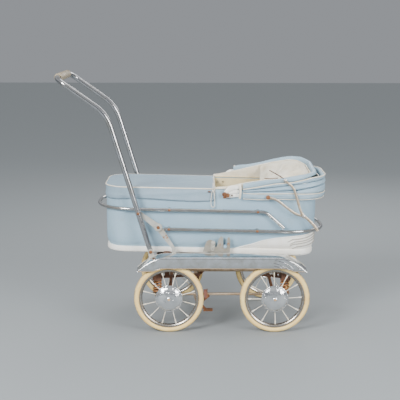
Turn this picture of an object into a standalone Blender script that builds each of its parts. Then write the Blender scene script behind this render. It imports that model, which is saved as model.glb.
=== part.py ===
# A vintage coach-built pram: chromed fenders over four spoked wheels, a sprung lower frame,
# a folding handle with jointed struts, and a lift-off cot with apron and folding hood.
# Metres, +Z up. X runs along the pram, +X to the head end. Y = 0 is the centre plane.
# Z = 0 is the floor. The cot sits on the frame turned a little about Y, head end lower.
import math

import bmesh
import bpy
from mathutils import Matrix, Vector

# How far the finished pram is moved along X, so that the origin lies under the middle of its length
ORIGIN_SHIFT = 0.110

# Clearance between touching pieces, and running clearance in pivots
GAP = 0.0003
RUN = 0.0005

# How far each layer lies from the centre plane, from the cot outwards: each stands off the one inside it
COT_HALF_WIDTH = 0.144
BOW_STAND = 0.0055
BOW_HALF_WIDTH = COT_HALF_WIDTH + BOW_STAND
LATCH_STAND = 0.0115
LATCH_LAYER = COT_HALF_WIDTH + LATCH_STAND
PEG_END = 0.0075
PEG_REACH = LATCH_LAYER + PEG_END
STRUT_STAND = 0.0218
STRUT_LAYER = COT_HALF_WIDTH + STRUT_STAND
BRACE_STAND = 0.0173
BRACE_LAYER = BOW_HALF_WIDTH + BRACE_STAND
HANDLE_STAND = 0.0177
HANDLE_HALF = STRUT_LAYER + HANDLE_STAND
FENDER_STAND = 0.0085
FENDER_INNER = HANDLE_HALF + FENDER_STAND
TYRE_STAND = 0.0253
TRACK_HALF = FENDER_INNER + TYRE_STAND
FENDER_LAP = 0.0207
FENDER_OUTER = TRACK_HALF + FENDER_LAP

# Wheels
WHEEL_RADIUS = 0.127
WHEEL_X = 0.192
TYRE_WIDTH = 0.020
TYRE_DEPTH = 0.020
WHEEL_FACETS = 26
# Turns the facets so that one lies flat on the floor
WHEEL_PHASE = 0.75 * WHEEL_FACETS % 1 - 0.5
RIM_DEPTH = 0.0085
RIM_WIDTH = 0.016
HUB_RADIUS = 0.015
HUB_BACK = 0.012
HUB_FRONT = 0.008
HUB_FLANGE = 0.006
SPOKE_COUNT = 12
SPOKE_RADIUS = 0.0013
CAP_RADIUS = 0.049
CAP_RISE = 0.0095
CAP_WALL = 0.0018

# Lower frame
AXLE_RADIUS = 0.006
SIDE_BAR_INSET = 0.0473
SIDE_BAR_HALF = TRACK_HALF - SIDE_BAR_INSET
SIDE_BAR_Z = 0.129
SIDE_BAR_RADIUS = 0.0052
EYE_RADIUS = 0.0115
EYE_LENGTH = 0.014

# Coil springs
SPRING_FOOT_X = -0.236
SPRING_HEAD_X = 0.231
SPRING_TOP_Z = 0.189
SPRING_COIL_RADIUS = 0.0150
SPRING_WIRE_RADIUS = 0.0025
SPRING_TURNS = 5.0
SPRING_END_PITCH = 0.0062
SPRING_STEPS = 8
CUP_RADIUS = 0.0190
CUP_THICKNESS = 0.004
CUP_BOSS_RADIUS = 0.010
CUP_BOSS_DEPTH = 0.009
SPRING_TRAVEL = 0.018

# Guide bolts and yokes of the upper frame
BOLT_RADIUS = 0.0045
BOLT_HEAD_RADIUS = 0.0085
BOLT_HEAD_HEIGHT = 0.006
NUT_RADIUS = 0.0075
NUT_HEIGHT = 0.006
YOKE_THICKNESS = 0.006
YOKE_WIDTH = 0.034
YOKE_PLATE_WIDTH = 0.022
YOKE_FOOT_REACH = 0.158
YOKE_HEAD_REACH = 0.088
YOKE_TAB_WIDTH = 0.026
YOKE_TAB_THICKNESS = 0.004
TAB_CLEAR = 0.0016

# Fenders
FENDER_CREASE_Z = 0.280
FENDER_TOP_Z = 0.284
FENDER_SKIN = 0.0020
FENDER_FLAT_FOOT_X = -0.187
FENDER_FLAT_HEAD_X = 0.243
FENDER_FOOT_TIP = (-0.306, 0.230)
FENDER_HEAD_TIP = (0.304, 0.232)
FENDER_EDGE_Z = 0.241
FENDER_SIDE_LIP = 0.006
FENDER_FOOT_STEP_X = -0.215
FENDER_HEAD_STEP_X = 0.225
FENDER_STEP = 0.040

# Handle and its struts
PIVOT_X = -0.2585
PIVOT_Z = 0.292
TUBE_RADIUS = 0.010
ARM_BOTTOM = (-0.2652, 0.311)
ARM_TURN = (-0.4117, 0.7906)
CROSSBAR = (-0.588, 0.916)
ARM_BEND_RADIUS = 0.150
CORNER_RADIUS = 0.045
GRIP_RADIUS = 0.0150
GRIP_HALF = 0.125
TONGUE_THICKNESS = 0.005
TONGUE_WIDTH = 0.018
PIN_RADIUS = 0.004
BRACKET_THICKNESS = 0.004
BRACKET_WIDTH = 0.020
RIVET_UPPER = (-0.3026, 0.4336)
KNUCKLE = (-0.2315, 0.3792)
STRUT_FOOT = (-0.1747, 0.2985)
STRUT_THICKNESS = 0.0022
STRUT_UPPER_WIDTH = 0.014
STRUT_LOWER_WIDTH = 0.017
KNOB_RADIUS = 0.015
KNOB_DEPTH = 0.0030

# Brake
BRAKE_PIVOT = (-0.088, 0.100)
BRAKE_SHAFT_RADIUS = 0.0045
BRAKE_HANGER_WIDTH = 0.014
PAD_HEIGHT = 0.029
PAD_Z = 0.1435
PAD_THICKNESS = 0.008
PAD_WIDTH = 0.018
BRAKE_ARM_WIDTH = 0.010
BRAKE_ARM_THICKNESS = 0.005
WHEEL_CLEAR = 0.0015
PEDAL_END = (-0.060, 0.066)
PEDAL_LENGTH = 0.034
PEDAL_HALF = 0.011

# Cot: its frame is turned about Y, and the sizes below are in that frame
COT_TILT = math.radians(1.2)
COT_FRAME_X = -0.034
COT_FRAME_Z = 0.280
COT_CENTRE_X = -0.0085
COT_HALF_LENGTH = 0.3875
COT_CORNER = 0.077
COT_RIM_Z = 0.235
COT_WALL = 0.009
TRAY_HEIGHT = 0.013
TRAY_FOOT_INSET = 0.024
TRAY_EDGE_INSET = 0.015
TRAY_BEVEL = 0.005
TRAY_LIP = 0.002
PLINTH_LAP = 0.008
COT_FLOOR_Z = 0.030
SIDE_KNEE_Z = 0.075
WALL_LEVELS = (TRAY_HEIGHT + GAP, 0.022, 0.033, SIDE_KNEE_Z)
TRAY_DROP = 0.010
TRAY_DROP_START = 0.250
TRAY_DROP_END = 0.335
CORNER_STEPS = 5
LINING_THICKNESS = 0.003
FLASH_THICKNESS = 0.0022
FLASH_SEAT = 0.0012
FLASH_START_X = 0.079
FLASH_CURVE = ((0.0, 0.0160), (0.058, 0.031), (0.102, 0.047), (0.149, 0.057), (0.204, 0.064), (0.300, 0.074),
               (0.390, 0.092), (0.450, 0.098))

# Rails round the cot
RAIL_RADIUS = 0.0063
RAIL_OFFSET = 0.0150
UPPER_RAIL_Z = 0.158
LOWER_RAIL_Z = 0.0865
RAIL_END_STAND = 0.0300
RAIL_END_RADIUS = 0.135
RAIL_RIVET_X = 0.161
RAIL_OPEN_END = (0.258, 0.100)
RAIL_DROP_START_X = 0.190
LOWER_RAIL_END_X = -0.179
SPACER_RADIUS = 0.0060

# Pegs and latches that hold the cot
PEG_X = 0.0455
PEG_Z = 0.026
PEG_RADIUS = 0.006
LATCH_THICKNESS = 0.003
LATCH_BASE_Z = 0.2868
LATCH_TOP_Z = 0.343
LATCH_KNOB = (-0.032, 0.318)
LATCH_KNOB_RADIUS = 0.007
REST_WIDTH = 0.024
REST_THICKNESS = 0.006
REST_FOOT_X = -0.200
REST_HEAD_X = 0.195

# Apron over the foot half
APRON_END_X = 0.004
APRON_CLEAR = 0.0010
APRON_CLOTH = 0.0045
APRON_SKIRT_Z = 0.193
APRON_SAG = 0.007
TOP_FLAT_SHARE = 0.88
FOLD_DEPTH = 0.0022
FOLD_COUNT = 7

# Hood, folded down over the head half
HOOD_PIVOT = (0.050, 0.217)
BOW_END_STAND = 0.016
BOW_REACH = COT_CENTRE_X + COT_HALF_LENGTH + BOW_END_STAND - HOOD_PIVOT[0]
BOW_CORNER = 0.088
BOW_RADIUS = 0.0035
BOW_STRIP_LENGTH = 0.105
BOW_REAR_ANGLE = math.radians(1.8)
BOW_MID_ANGLE = math.radians(5.8)
BOW_FRONT_ANGLE = math.radians(9.8)
EYE_THICKNESS = 0.0033
HINGE_THICKNESS = 0.0030
HINGE_WIDTH = 0.034
HINGE_STUD_RADIUS = 0.0045
LAYER_START = 0.152
TOP_START = 0.056
VALANCE_START = 0.175
VALANCE_EDGE = 0.0035
VALANCE_DROP = 0.013
VALANCE_DROP_START = 0.20
VALANCE_DROP_RUN = 0.12
TOP_THINNING = 0.66
TOP_THIN_START = 0.225
TOP_THIN_RUN = 0.095
CLOTH_SIDE = 0.004
CLOTH_CLEAR = 0.0008
CLOTH_INSIDE = 0.0075
CLOTH_OUTSIDE = 0.0070
CLOTH_BULGE = 0.0035
HOOD_LINING_DEPTH = 0.022
LINING_SINK = 0.003
LINING_CLEAR = 0.0085
EYE_HALF = 0.0082
STRIP_LAP = 0.008
BRACE_STUD = (0.2548, 0.2776)
BRACE_FOOT = (0.1957, 0.2139)
BRACE_JOINT = (0.3272, 0.1466)
BRACE_TIP = (0.390, 0.092)
BRACE_WIDTH = 0.011
BRACE_THICKNESS = 0.0020
BRACE_PIN = 0.0030

# Cord loop at the apron's corner
CORD_RADIUS = 0.0016


def colour_material(name, colour, roughness, metallic=0.0):
    material = bpy.data.materials.new(name)
    material.use_nodes = True
    shader = material.node_tree.nodes["Principled BSDF"]
    shader.inputs["Base Color"].default_value = (*colour, 1.0)
    shader.inputs["Roughness"].default_value = roughness
    shader.inputs["Metallic"].default_value = metallic
    return material


def finish_mesh(mesh_builder, name):
    """Turn a bmesh into an object in the scene, with its faces outwards and its round parts smooth."""
    bmesh.ops.recalc_face_normals(mesh_builder, faces=mesh_builder.faces[:])
    mesh = bpy.data.meshes.new(name)
    mesh_builder.to_mesh(mesh)
    mesh_builder.free()
    mesh.shade_smooth()
    mesh.set_sharp_from_angle(angle=math.radians(32))
    piece = bpy.data.objects.new(name, mesh)
    bpy.context.scene.collection.objects.link(piece)
    return piece


def loft(name, rings, closed=False):
    """Skin a row of rings with equal point counts. An open row is capped at both ends."""
    builder = bmesh.new()
    rows = [[builder.verts.new(point) for point in ring] for ring in rings]
    pairs = list(zip(rows, rows[1:]))
    if closed:
        pairs.append((rows[-1], rows[0]))
    for lower, upper in pairs:
        count = len(lower)
        for i in range(count):
            j = (i + 1) % count
            builder.faces.new((lower[i], lower[j], upper[j], upper[i]))
    if not closed:
        builder.faces.new(rows[0][::-1])
        builder.faces.new(rows[-1])
    return finish_mesh(builder, name)


def sweep(name, path, radius, sides=8, closed=False):
    """A round tube along a path. Rings turn with the path, so the tube doesn't twist."""
    points = [Vector(p) for p in path]
    count = len(points)
    rings = []
    normal = None
    for i, point in enumerate(points):
        before = points[i - 1] if (i > 0 or closed) else point
        after = points[(i + 1) % count] if (i < count - 1 or closed) else point
        along = (after - before).normalized()
        if normal is None:
            normal = along.orthogonal().normalized()
        normal = (normal - along * normal.dot(along)).normalized()
        side = along.cross(normal)
        turn = [2 * math.pi * k / sides for k in range(sides)]
        size = radius[i] if isinstance(radius, (list, tuple)) else radius
        rings.append([point + size * (math.cos(a) * normal + math.sin(a) * side) for a in turn])
    return loft(name, rings, closed)


def turned(name, profile, centre, axis="Y", steps=24, phase=0.0, side=1.0):
    """Turn a closed profile of (radius, distance along the axis) points round an axis."""
    builder = bmesh.new()
    rows = []
    for k in range(steps):
        angle = 2 * math.pi * (k + phase) / steps
        row = []
        for radius, along in profile:
            across = Vector((math.cos(angle) * radius, math.sin(angle) * radius))
            if axis == "Y":
                place = Vector((across.x, side * along, across.y))
            else:
                place = Vector((across.x, across.y, side * along))
            row.append(builder.verts.new(Vector(centre) + place))
        rows.append(row)
    count = len(profile)
    for k in range(steps):
        this, that = rows[k], rows[(k + 1) % steps]
        for i in range(count):
            j = (i + 1) % count
            if profile[i][0] > 0.0 or profile[j][0] > 0.0:
                builder.faces.new((this[i], this[j], that[j], that[i]))
    bmesh.ops.remove_doubles(builder, verts=builder.verts[:], dist=1e-6)
    return finish_mesh(builder, name)


def disc_profile(radius, start, end, bore=0.0):
    return [(bore, start), (radius, start), (radius, end), (bore, end)]


def rod(name, start, end, radius, sides=12):
    return sweep(name, [start, end], radius, sides)


def plate(name, outline, y_from, y_to):
    """Extrude an outline of (x, z) points along Y."""
    rings = [[(x, y, z) for x, z in outline] for y in (y_from, y_to)]
    return loft(name, rings)


def slab(name, corner_a, corner_b):
    (x0, y0, z0), (x1, y1, z1) = corner_a, corner_b
    return plate(name, [(x0, z0), (x1, z0), (x1, z1), (x0, z1)], y0, y1)


def arc(centre, radius, start, end, steps):
    """Points on an arc in a plane, angles in radians."""
    turn = [start + (end - start) * k / steps for k in range(steps + 1)]
    return [(centre[0] + radius * math.cos(a), centre[1] + radius * math.sin(a)) for a in turn]


def link_outline(start, end, width_start, width_end=None, steps=6):
    """The outline of a flat link with round ends, through two pivots in the XZ plane."""
    width_end = width_end or width_start
    heading = math.atan2(end[1] - start[1], end[0] - start[0])
    back = arc(start, width_start / 2, heading + math.pi / 2, heading + 3 * math.pi / 2, steps)
    front = arc(end, width_end / 2, heading - math.pi / 2, heading + math.pi / 2, steps)
    return back + front


def boolean(piece, tools, operation):
    for tool in tools:
        modifier = piece.modifiers.new(operation.lower(), "BOOLEAN")
        modifier.operation = operation
        modifier.solver = "EXACT"
        modifier.object = tool
        graph = bpy.context.evaluated_depsgraph_get()
        result = bpy.data.meshes.new_from_object(piece.evaluated_get(graph))
        piece.modifiers.clear()
        piece.data = result
        bpy.data.objects.remove(tool)
    piece.data.shade_smooth()
    piece.data.set_sharp_from_angle(angle=math.radians(32))
    return piece


def join_shapes(piece, *tools):
    return boolean(piece, tools, "UNION")


def cut_shapes(piece, *tools):
    return boolean(piece, tools, "DIFFERENCE")


def rounded_path(points, radii, steps=6):
    """Corners of a 3-D path rounded by arcs. Ends stay, and each inner corner has its radius."""
    corners = [Vector(p) for p in points]
    path = [corners[0]]
    for before, corner, after, radius in zip(corners, corners[1:], corners[2:], radii):
        back = (before - corner).normalized()
        ahead = (after - corner).normalized()
        half = back.angle(ahead) / 2
        reach = radius / math.tan(half)
        centre = corner + (back + ahead).normalized() * (radius / math.sin(half))
        first = corner + back * reach - centre
        last = corner + ahead * reach - centre
        for k in range(steps + 1):
            path.append(centre + radius * first.normalized().slerp(last.normalized(), k / steps))
    path.append(corners[-1])
    return path


class Assembly:
    """Keeps the joint frames, and puts each piece under its frame with its material."""

    def __init__(self):
        self.frames = {}

    def frame(self, name, place, parent=None):
        holder = bpy.data.objects.new("frame_" + name, None)
        bpy.context.scene.collection.objects.link(holder)
        if parent:
            holder.parent = self.frames[parent]
        holder.location = place
        bpy.context.view_layer.update()
        self.frames[name] = holder

    def put(self, piece, frame, material, space=None):
        """Parent a piece that was built in the world's or the cot's coordinates."""
        holder = self.frames[frame]
        start = self.frames[space].matrix_world if space else Matrix.Identity(4)
        move = holder.matrix_world.inverted() @ start
        piece.data.transform(move)
        piece.parent = holder
        piece.data.materials.clear()
        piece.data.materials.append(material)


def side_name(side):
    return "near" if side < 0 else "far"


def end_name(end):
    return "foot" if end < 0 else "head"


def make_tyre(name, x, side):
    outer = WHEEL_RADIUS / math.cos(math.pi / WHEEL_FACETS)
    inner = outer - TYRE_DEPTH
    half = TYRE_WIDTH / 2
    tread = 0.005
    profile = [(inner, -RIM_WIDTH / 2), (outer - 0.010, -half), (outer, -tread),
               (outer, tread), (outer - 0.010, half), (inner, RIM_WIDTH / 2)]
    return turned(name, profile, (x, side * TRACK_HALF, WHEEL_RADIUS), steps=WHEEL_FACETS, phase=WHEEL_PHASE)


def make_spoked_wheel(name, x, side, turn):
    """Rim, laced spokes and hub as one piece, with the axle's bore through the hub."""
    seat = WHEEL_RADIUS / math.cos(math.pi / WHEEL_FACETS) - TYRE_DEPTH - GAP
    half = RIM_WIDTH / 2
    well = seat - RIM_DEPTH
    centre = Vector((x, side * TRACK_HALF, WHEEL_RADIUS))
    profile = [(seat, -half), (seat, half), (seat - 0.003, half + 0.001), (well, half * 0.6),
               (well, -half * 0.6), (seat - 0.003, -half - 0.001)]
    wheel = turned(name, profile, centre, steps=WHEEL_FACETS, phase=WHEEL_PHASE)
    for k in range(SPOKE_COUNT):
        angle = turn + 2 * math.pi * k / SPOKE_COUNT
        lean = HUB_FLANGE * (1 if k % 2 else -1)
        out = Vector((math.cos(angle), 0.0, math.sin(angle)))
        start = centre + out * (HUB_RADIUS * 0.8) + Vector((0.0, lean, 0.0))
        end = centre + out * (well + 0.003)
        join_shapes(wheel, rod("spoke", start, end, SPOKE_RADIUS, 5))
    hub = turned("hub", disc_profile(HUB_RADIUS, -HUB_BACK, HUB_FRONT, AXLE_RADIUS + RUN), centre, steps=12,
                 side=side)
    return join_shapes(wheel, hub)


def make_hub_cap(name, x, side):
    back = HUB_FRONT + GAP
    edge = back + CAP_WALL
    crown = back + CAP_RISE
    radius = CAP_RADIUS
    outer = [(radius, edge), (radius * 0.9, edge + CAP_RISE * 0.35), (radius * 0.6, edge + CAP_RISE * 0.68),
             (radius * 0.3, crown - CAP_RISE * 0.03), (0.0, crown)]
    inner = [(0.0, back), (HUB_RADIUS, back), (HUB_RADIUS, back + CAP_RISE * 0.62),
             (radius * 0.86, back + CAP_RISE * 0.25), (radius, back)]
    centre = (x, side * TRACK_HALF, WHEEL_RADIUS)
    return turned(name, outer + inner, centre, steps=16, side=side)


def make_axle(name, x):
    end = TRACK_HALF + HUB_FRONT - RUN
    collar = TRACK_HALF - HUB_BACK - GAP
    thick = 0.004
    profile = [(0.0, -end), (AXLE_RADIUS, -end), (AXLE_RADIUS, -collar), (0.010, -collar),
               (0.010, -collar + thick), (AXLE_RADIUS, -collar + thick)]
    profile += [(r, -y) for r, y in reversed(profile)]
    return turned(name, profile, (x, 0.0, WHEEL_RADIUS), steps=12)


def cup_top():
    return SIDE_BAR_Z + SIDE_BAR_RADIUS + 0.0003


def make_side_bar(name, side):
    """Bar at hub height with an eye round each axle, a spring cup at each end and the brake hanger."""
    y = side * SIDE_BAR_HALF
    ends = (SPRING_FOOT_X + CUP_BOSS_RADIUS * 0.8, SPRING_HEAD_X - CUP_BOSS_RADIUS * 0.8)
    bar = rod(name, (ends[0], y, SIDE_BAR_Z), (ends[1], y, SIDE_BAR_Z), SIDE_BAR_RADIUS, 8)
    bolt_hole = BOLT_RADIUS + RUN
    for x in (SPRING_FOOT_X, SPRING_HEAD_X):
        top = cup_top()
        step = top - CUP_THICKNESS
        cup = turned("cup", [(bolt_hole / 2, top), (CUP_RADIUS, top), (CUP_RADIUS, step), (CUP_BOSS_RADIUS, step),
                             (CUP_BOSS_RADIUS, step - CUP_BOSS_DEPTH), (bolt_hole / 2, step - CUP_BOSS_DEPTH)],
                     (x, y, 0.0), axis="Z", steps=10)
        join_shapes(bar, cup)
        hole = rod("hole", (x, y, SIDE_BAR_Z - 0.03), (x, y, SIDE_BAR_Z + 0.03), bolt_hole, 10)
        cut_shapes(bar, hole)
    for x in (-WHEEL_X, WHEEL_X):
        half = EYE_LENGTH / 2
        eye = rod("eye", (x, y - half, WHEEL_RADIUS), (x, y + half, WHEEL_RADIUS), EYE_RADIUS, 10)
        join_shapes(bar, eye)
        bore = rod("bore", (x, y - half - 0.01, WHEEL_RADIUS), (x, y + half + 0.01, WHEEL_RADIUS),
                   AXLE_RADIUS + GAP, 10)
        cut_shapes(bar, bore)
    hanger = plate("hanger", link_outline((BRAKE_PIVOT[0] - 0.012, SIDE_BAR_Z - 0.001), BRAKE_PIVOT,
                                          BRAKE_HANGER_WIDTH * 0.8, BRAKE_HANGER_WIDTH), y - 0.002, y + 0.002)
    join_shapes(bar, hanger)
    bore = rod("bore", (BRAKE_PIVOT[0], y - 0.01, BRAKE_PIVOT[1]), (BRAKE_PIVOT[0], y + 0.01, BRAKE_PIVOT[1]),
               BRAKE_SHAFT_RADIUS + RUN, 12)
    return cut_shapes(bar, bore)


def spring_points(x, y):
    """A helix with its end turns drawn close, as a compression spring is wound."""
    low = cup_top() + GAP + SPRING_WIRE_RADIUS
    high = SPRING_TOP_Z - GAP - SPRING_WIRE_RADIUS
    end_rise = SPRING_END_PITCH * 0.9
    middle_turns = SPRING_TURNS - 1.8
    middle_rise = high - low - 2 * end_rise
    steps = round(SPRING_TURNS * SPRING_STEPS)
    points = []
    for k in range(steps + 1):
        turns = SPRING_TURNS * k / steps
        if turns < 0.9:
            z = low + SPRING_END_PITCH * turns
        elif turns > SPRING_TURNS - 0.9:
            z = high - SPRING_END_PITCH * (SPRING_TURNS - turns)
        else:
            z = low + end_rise + middle_rise * (turns - 0.9) / middle_turns
        angle = 2 * math.pi * turns
        points.append(Vector((x + SPRING_COIL_RADIUS * math.cos(angle), y + SPRING_COIL_RADIUS * math.sin(angle), z)))
    return points


def make_spring(name, x, y):
    points = spring_points(x, y)
    curve = bpy.data.curves.new(name, "CURVE")
    curve.dimensions = "3D"
    spline = curve.splines.new("POLY")
    spline.points.add(len(points) - 1)
    for slot, point in zip(spline.points, points):
        slot.co = (*point, 1.0)
    curve.bevel_depth = SPRING_WIRE_RADIUS
    curve.bevel_resolution = 1
    curve.use_fill_caps = True
    curve.render_resolution_u = 0
    piece = bpy.data.objects.new(name, curve)
    bpy.context.scene.collection.objects.link(piece)
    return piece


def print_spring_gap():
    points = spring_points(0.0, 0.0)
    apart = SPRING_STEPS // 2
    least = min((a - b).length for i, a in enumerate(points) for b in points[i + apart:])
    print("least gap of a spring to itself, mm:", round((least - 2 * SPRING_WIRE_RADIUS) * 1000, 2))


def make_yoke(name, x, reach, rest_x):
    """Cross member of the upper frame: spring seats, guide bolts, tabs up to the fenders,
    and the raised bar that the cot rests on."""
    low = SPRING_TOP_Z
    high = low + YOKE_THICKNESS
    half = YOKE_WIDTH / 2
    across = FENDER_INNER + 0.010
    yoke = slab(name, (x - half, -across, low), (x + half, across, high))
    inward = 1 if x < 0 else -1
    for side in (-1, 1):
        y = side * SIDE_BAR_HALF
        wide = YOKE_PLATE_WIDTH / 2
        arm = plate("arm", [(x, low + 0.001), (x + inward * reach, low + 0.011), (x + inward * reach, low + 0.016),
                            (x, high - 0.001)], y - wide, y + wide)
        join_shapes(yoke, arm)
        tab_y = side * (across - YOKE_TAB_THICKNESS / 2)
        tab_top = min(fender_underside(x + end * YOKE_TAB_WIDTH / 2, across) for end in (-1, 1))
        tab = slab("tab", (x - YOKE_TAB_WIDTH / 2, tab_y - YOKE_TAB_THICKNESS / 2, low + 0.001),
                   (x + YOKE_TAB_WIDTH / 2, tab_y + YOKE_TAB_THICKNESS / 2, tab_top))
        join_shapes(yoke, tab)
        nut_top = cup_top() - CUP_THICKNESS - CUP_BOSS_DEPTH - GAP
        profile = [(0.0, nut_top - NUT_HEIGHT), (NUT_RADIUS, nut_top - NUT_HEIGHT), (NUT_RADIUS, nut_top),
                   (BOLT_RADIUS, nut_top), (BOLT_RADIUS, high - 0.001), (BOLT_HEAD_RADIUS, high - 0.001),
                   (BOLT_HEAD_RADIUS, high + BOLT_HEAD_HEIGHT), (0.0, high + BOLT_HEAD_HEIGHT)]
        join_shapes(yoke, turned("bolt", profile, (x, y, 0.0), axis="Z", steps=12))
    join_shapes(yoke, make_cot_rest(rest_x))
    for side in (-1, 1):
        inner = SIDE_BAR_HALF + 0.005
        upright = slab("upright", (rest_x - REST_WIDTH * 0.35, side * inner, low + 0.008),
                       (rest_x + REST_WIDTH * 0.35, side * (inner + YOKE_TAB_THICKNESS), rest_top(rest_x) - 0.002))
        join_shapes(yoke, upright)
    return yoke


def fender_underside(x, y):
    """Height of the underside of the fender's top at a place, less the clearance."""
    (y0, z0), (y1, z1) = fender_section(x)[:2]
    return z0 + (z1 - z0) * (y - y0) / (y1 - y0) - FENDER_SKIN - TAB_CLEAR


def ease(value):
    value = max(0.0, min(1.0, value))
    return value * value * (3 - 2 * value)


def fender_heights(x):
    """Crease height and lower edge height of the fender at a place along the pram."""
    if x < FENDER_FLAT_FOOT_X:
        share = (FENDER_FLAT_FOOT_X - x) / (FENDER_FLAT_FOOT_X - FENDER_FOOT_TIP[0])
        drop = FENDER_CREASE_Z - FENDER_FOOT_TIP[1] - 0.004
        crease = FENDER_CREASE_Z - drop * (1 - math.sqrt(max(0.0, 1 - share ** 2.2))) ** 0.9
    elif x > FENDER_FLAT_HEAD_X:
        share = (x - FENDER_FLAT_HEAD_X) / (FENDER_HEAD_TIP[0] - FENDER_FLAT_HEAD_X)
        drop = FENDER_CREASE_Z - FENDER_HEAD_TIP[1] - 0.004
        crease = FENDER_CREASE_Z - drop * share ** 1.45
    else:
        crease = FENDER_CREASE_Z
    foot_step = ease((FENDER_FOOT_STEP_X - x) / FENDER_STEP)
    head_step = ease((x - FENDER_HEAD_STEP_X) / FENDER_STEP)
    edge = FENDER_EDGE_Z - 0.011 * foot_step - 0.011 * head_step
    return crease, edge


def fender_section(x):
    """Points of the outer surface at x, from the top's inner edge over the crease to the lower edge."""
    crease, edge = fender_heights(x)
    top = crease + (FENDER_TOP_Z - FENDER_CREASE_Z)
    return [(FENDER_INNER, top), (FENDER_OUTER - 0.004, crease + 0.0015), (FENDER_OUTER, crease - 0.003),
            (FENDER_OUTER, min(edge, crease - 0.004)), (FENDER_OUTER - 0.002, min(edge, crease - 0.004))]


def make_fender(name, side):
    """One pressed skin over both wheels of a side: top, crease and skirt, with closed tips."""
    stations = [FENDER_FOOT_TIP[0] + 0.0, -0.3035, -0.297, -0.286, -0.272, -0.255, -0.235, -0.215, FENDER_FLAT_FOOT_X]
    stations += [0.0, FENDER_HEAD_STEP_X, FENDER_FLAT_HEAD_X, 0.256, 0.270, 0.284, 0.296, FENDER_HEAD_TIP[0]]
    skin = FENDER_SKIN
    rings = []
    for x in stations:
        outer = fender_section(x)
        (y0, z0), (y1, z1), (y2, z2), (y3, z3), _ = outer
        inner = [(y3 - skin, z3), (y2 - skin, z2 - skin * 0.4), (y1 - skin * 0.7, z1 - skin), (y0 + skin, z0 - skin),
                 (y0 + skin, z0 - FENDER_SIDE_LIP), (y0, z0 - FENDER_SIDE_LIP)]
        ring = outer[:4] + inner
        rings.append([(x, side * y, z) for y, z in ring])
    return loft(name, rings)


def make_handle_bracket(name, side):
    """Upright plate with the pivot pin, and a foot that lies on the fender's foot end."""
    inner = HANDLE_HALF + TONGUE_THICKNESS / 2 + GAP
    outer = inner + BRACKET_THICKNESS
    foot_x = PIVOT_X + 0.012
    foot_z = fender_heights(foot_x)[0] + (FENDER_TOP_Z - FENDER_CREASE_Z)
    half = BRACKET_WIDTH / 2
    head = arc((PIVOT_X, PIVOT_Z), half, -0.35, math.pi + 0.35, 10)
    base = [(PIVOT_X - half * 0.7, foot_z - 0.012), (PIVOT_X + half * 1.4, foot_z - 0.002)]
    bracket = plate(name, head + base, side * inner, side * outer)
    pin = turned("pin", [(0.0, HANDLE_HALF - TONGUE_THICKNESS / 2 - 0.004), (PIN_RADIUS, HANDLE_HALF - 0.0065),
                         (PIN_RADIUS, outer - 0.001), (PIN_RADIUS * 1.9, outer - 0.001),
                         (PIN_RADIUS * 1.9, outer + 0.0025), (0.0, outer + 0.0035)],
                 (PIVOT_X, 0.0, PIVOT_Z), steps=12, side=side)
    return join_shapes(bracket, pin)


def handle_path():
    corners = [(ARM_BOTTOM[0], -HANDLE_HALF, ARM_BOTTOM[1]), (ARM_TURN[0], -HANDLE_HALF, ARM_TURN[1]),
               (CROSSBAR[0], -HANDLE_HALF, CROSSBAR[1]), (CROSSBAR[0], HANDLE_HALF, CROSSBAR[1]),
               (ARM_TURN[0], HANDLE_HALF, ARM_TURN[1]), (ARM_BOTTOM[0], HANDLE_HALF, ARM_BOTTOM[1])]
    radii = [ARM_BEND_RADIUS, CORNER_RADIUS, CORNER_RADIUS, ARM_BEND_RADIUS]
    return rounded_path(corners, radii, 5)


def make_handle(name):
    """U-shaped tube, its arm ends pressed into tongues round the pivot pins, with the strut studs."""
    handle = sweep(name, handle_path(), TUBE_RADIUS, 8)
    for side in (-1, 1):
        half = TONGUE_THICKNESS / 2
        up = (Vector(ARM_TURN) - Vector(ARM_BOTTOM)).normalized()
        upper = Vector(ARM_BOTTOM) + up * 0.016
        tongue = plate("tongue", link_outline((PIVOT_X, PIVOT_Z), tuple(upper), TONGUE_WIDTH),
                       side * HANDLE_HALF - half, side * HANDLE_HALF + half)
        join_shapes(handle, tongue)
        hole = rod("hole", (PIVOT_X, side * HANDLE_HALF - 0.02, PIVOT_Z),
                   (PIVOT_X, side * HANDLE_HALF + 0.02, PIVOT_Z), PIN_RADIUS + RUN, 12)
        cut_shapes(handle, hole)
        stud_end = STRUT_LAYER + STRUT_THICKNESS + GAP
        stud = turned("stud", [(0.0, stud_end - 0.0015), (PIN_RADIUS * 0.8, stud_end - 0.0015),
                               (PIN_RADIUS * 0.8, HANDLE_HALF), (0.0, HANDLE_HALF)],
                      (RIVET_UPPER[0], 0.0, RIVET_UPPER[1]), steps=10, side=side)
        join_shapes(handle, stud)
    return handle


def make_grip(name):
    profile = [(TUBE_RADIUS + GAP, -GRIP_HALF), (GRIP_RADIUS * 0.85, -GRIP_HALF), (GRIP_RADIUS, -GRIP_HALF + 0.004),
               (GRIP_RADIUS, GRIP_HALF - 0.004), (GRIP_RADIUS * 0.85, GRIP_HALF), (TUBE_RADIUS + GAP, GRIP_HALF)]
    return turned(name, profile, (CROSSBAR[0], 0.0, CROSSBAR[1]), steps=16)


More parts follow.
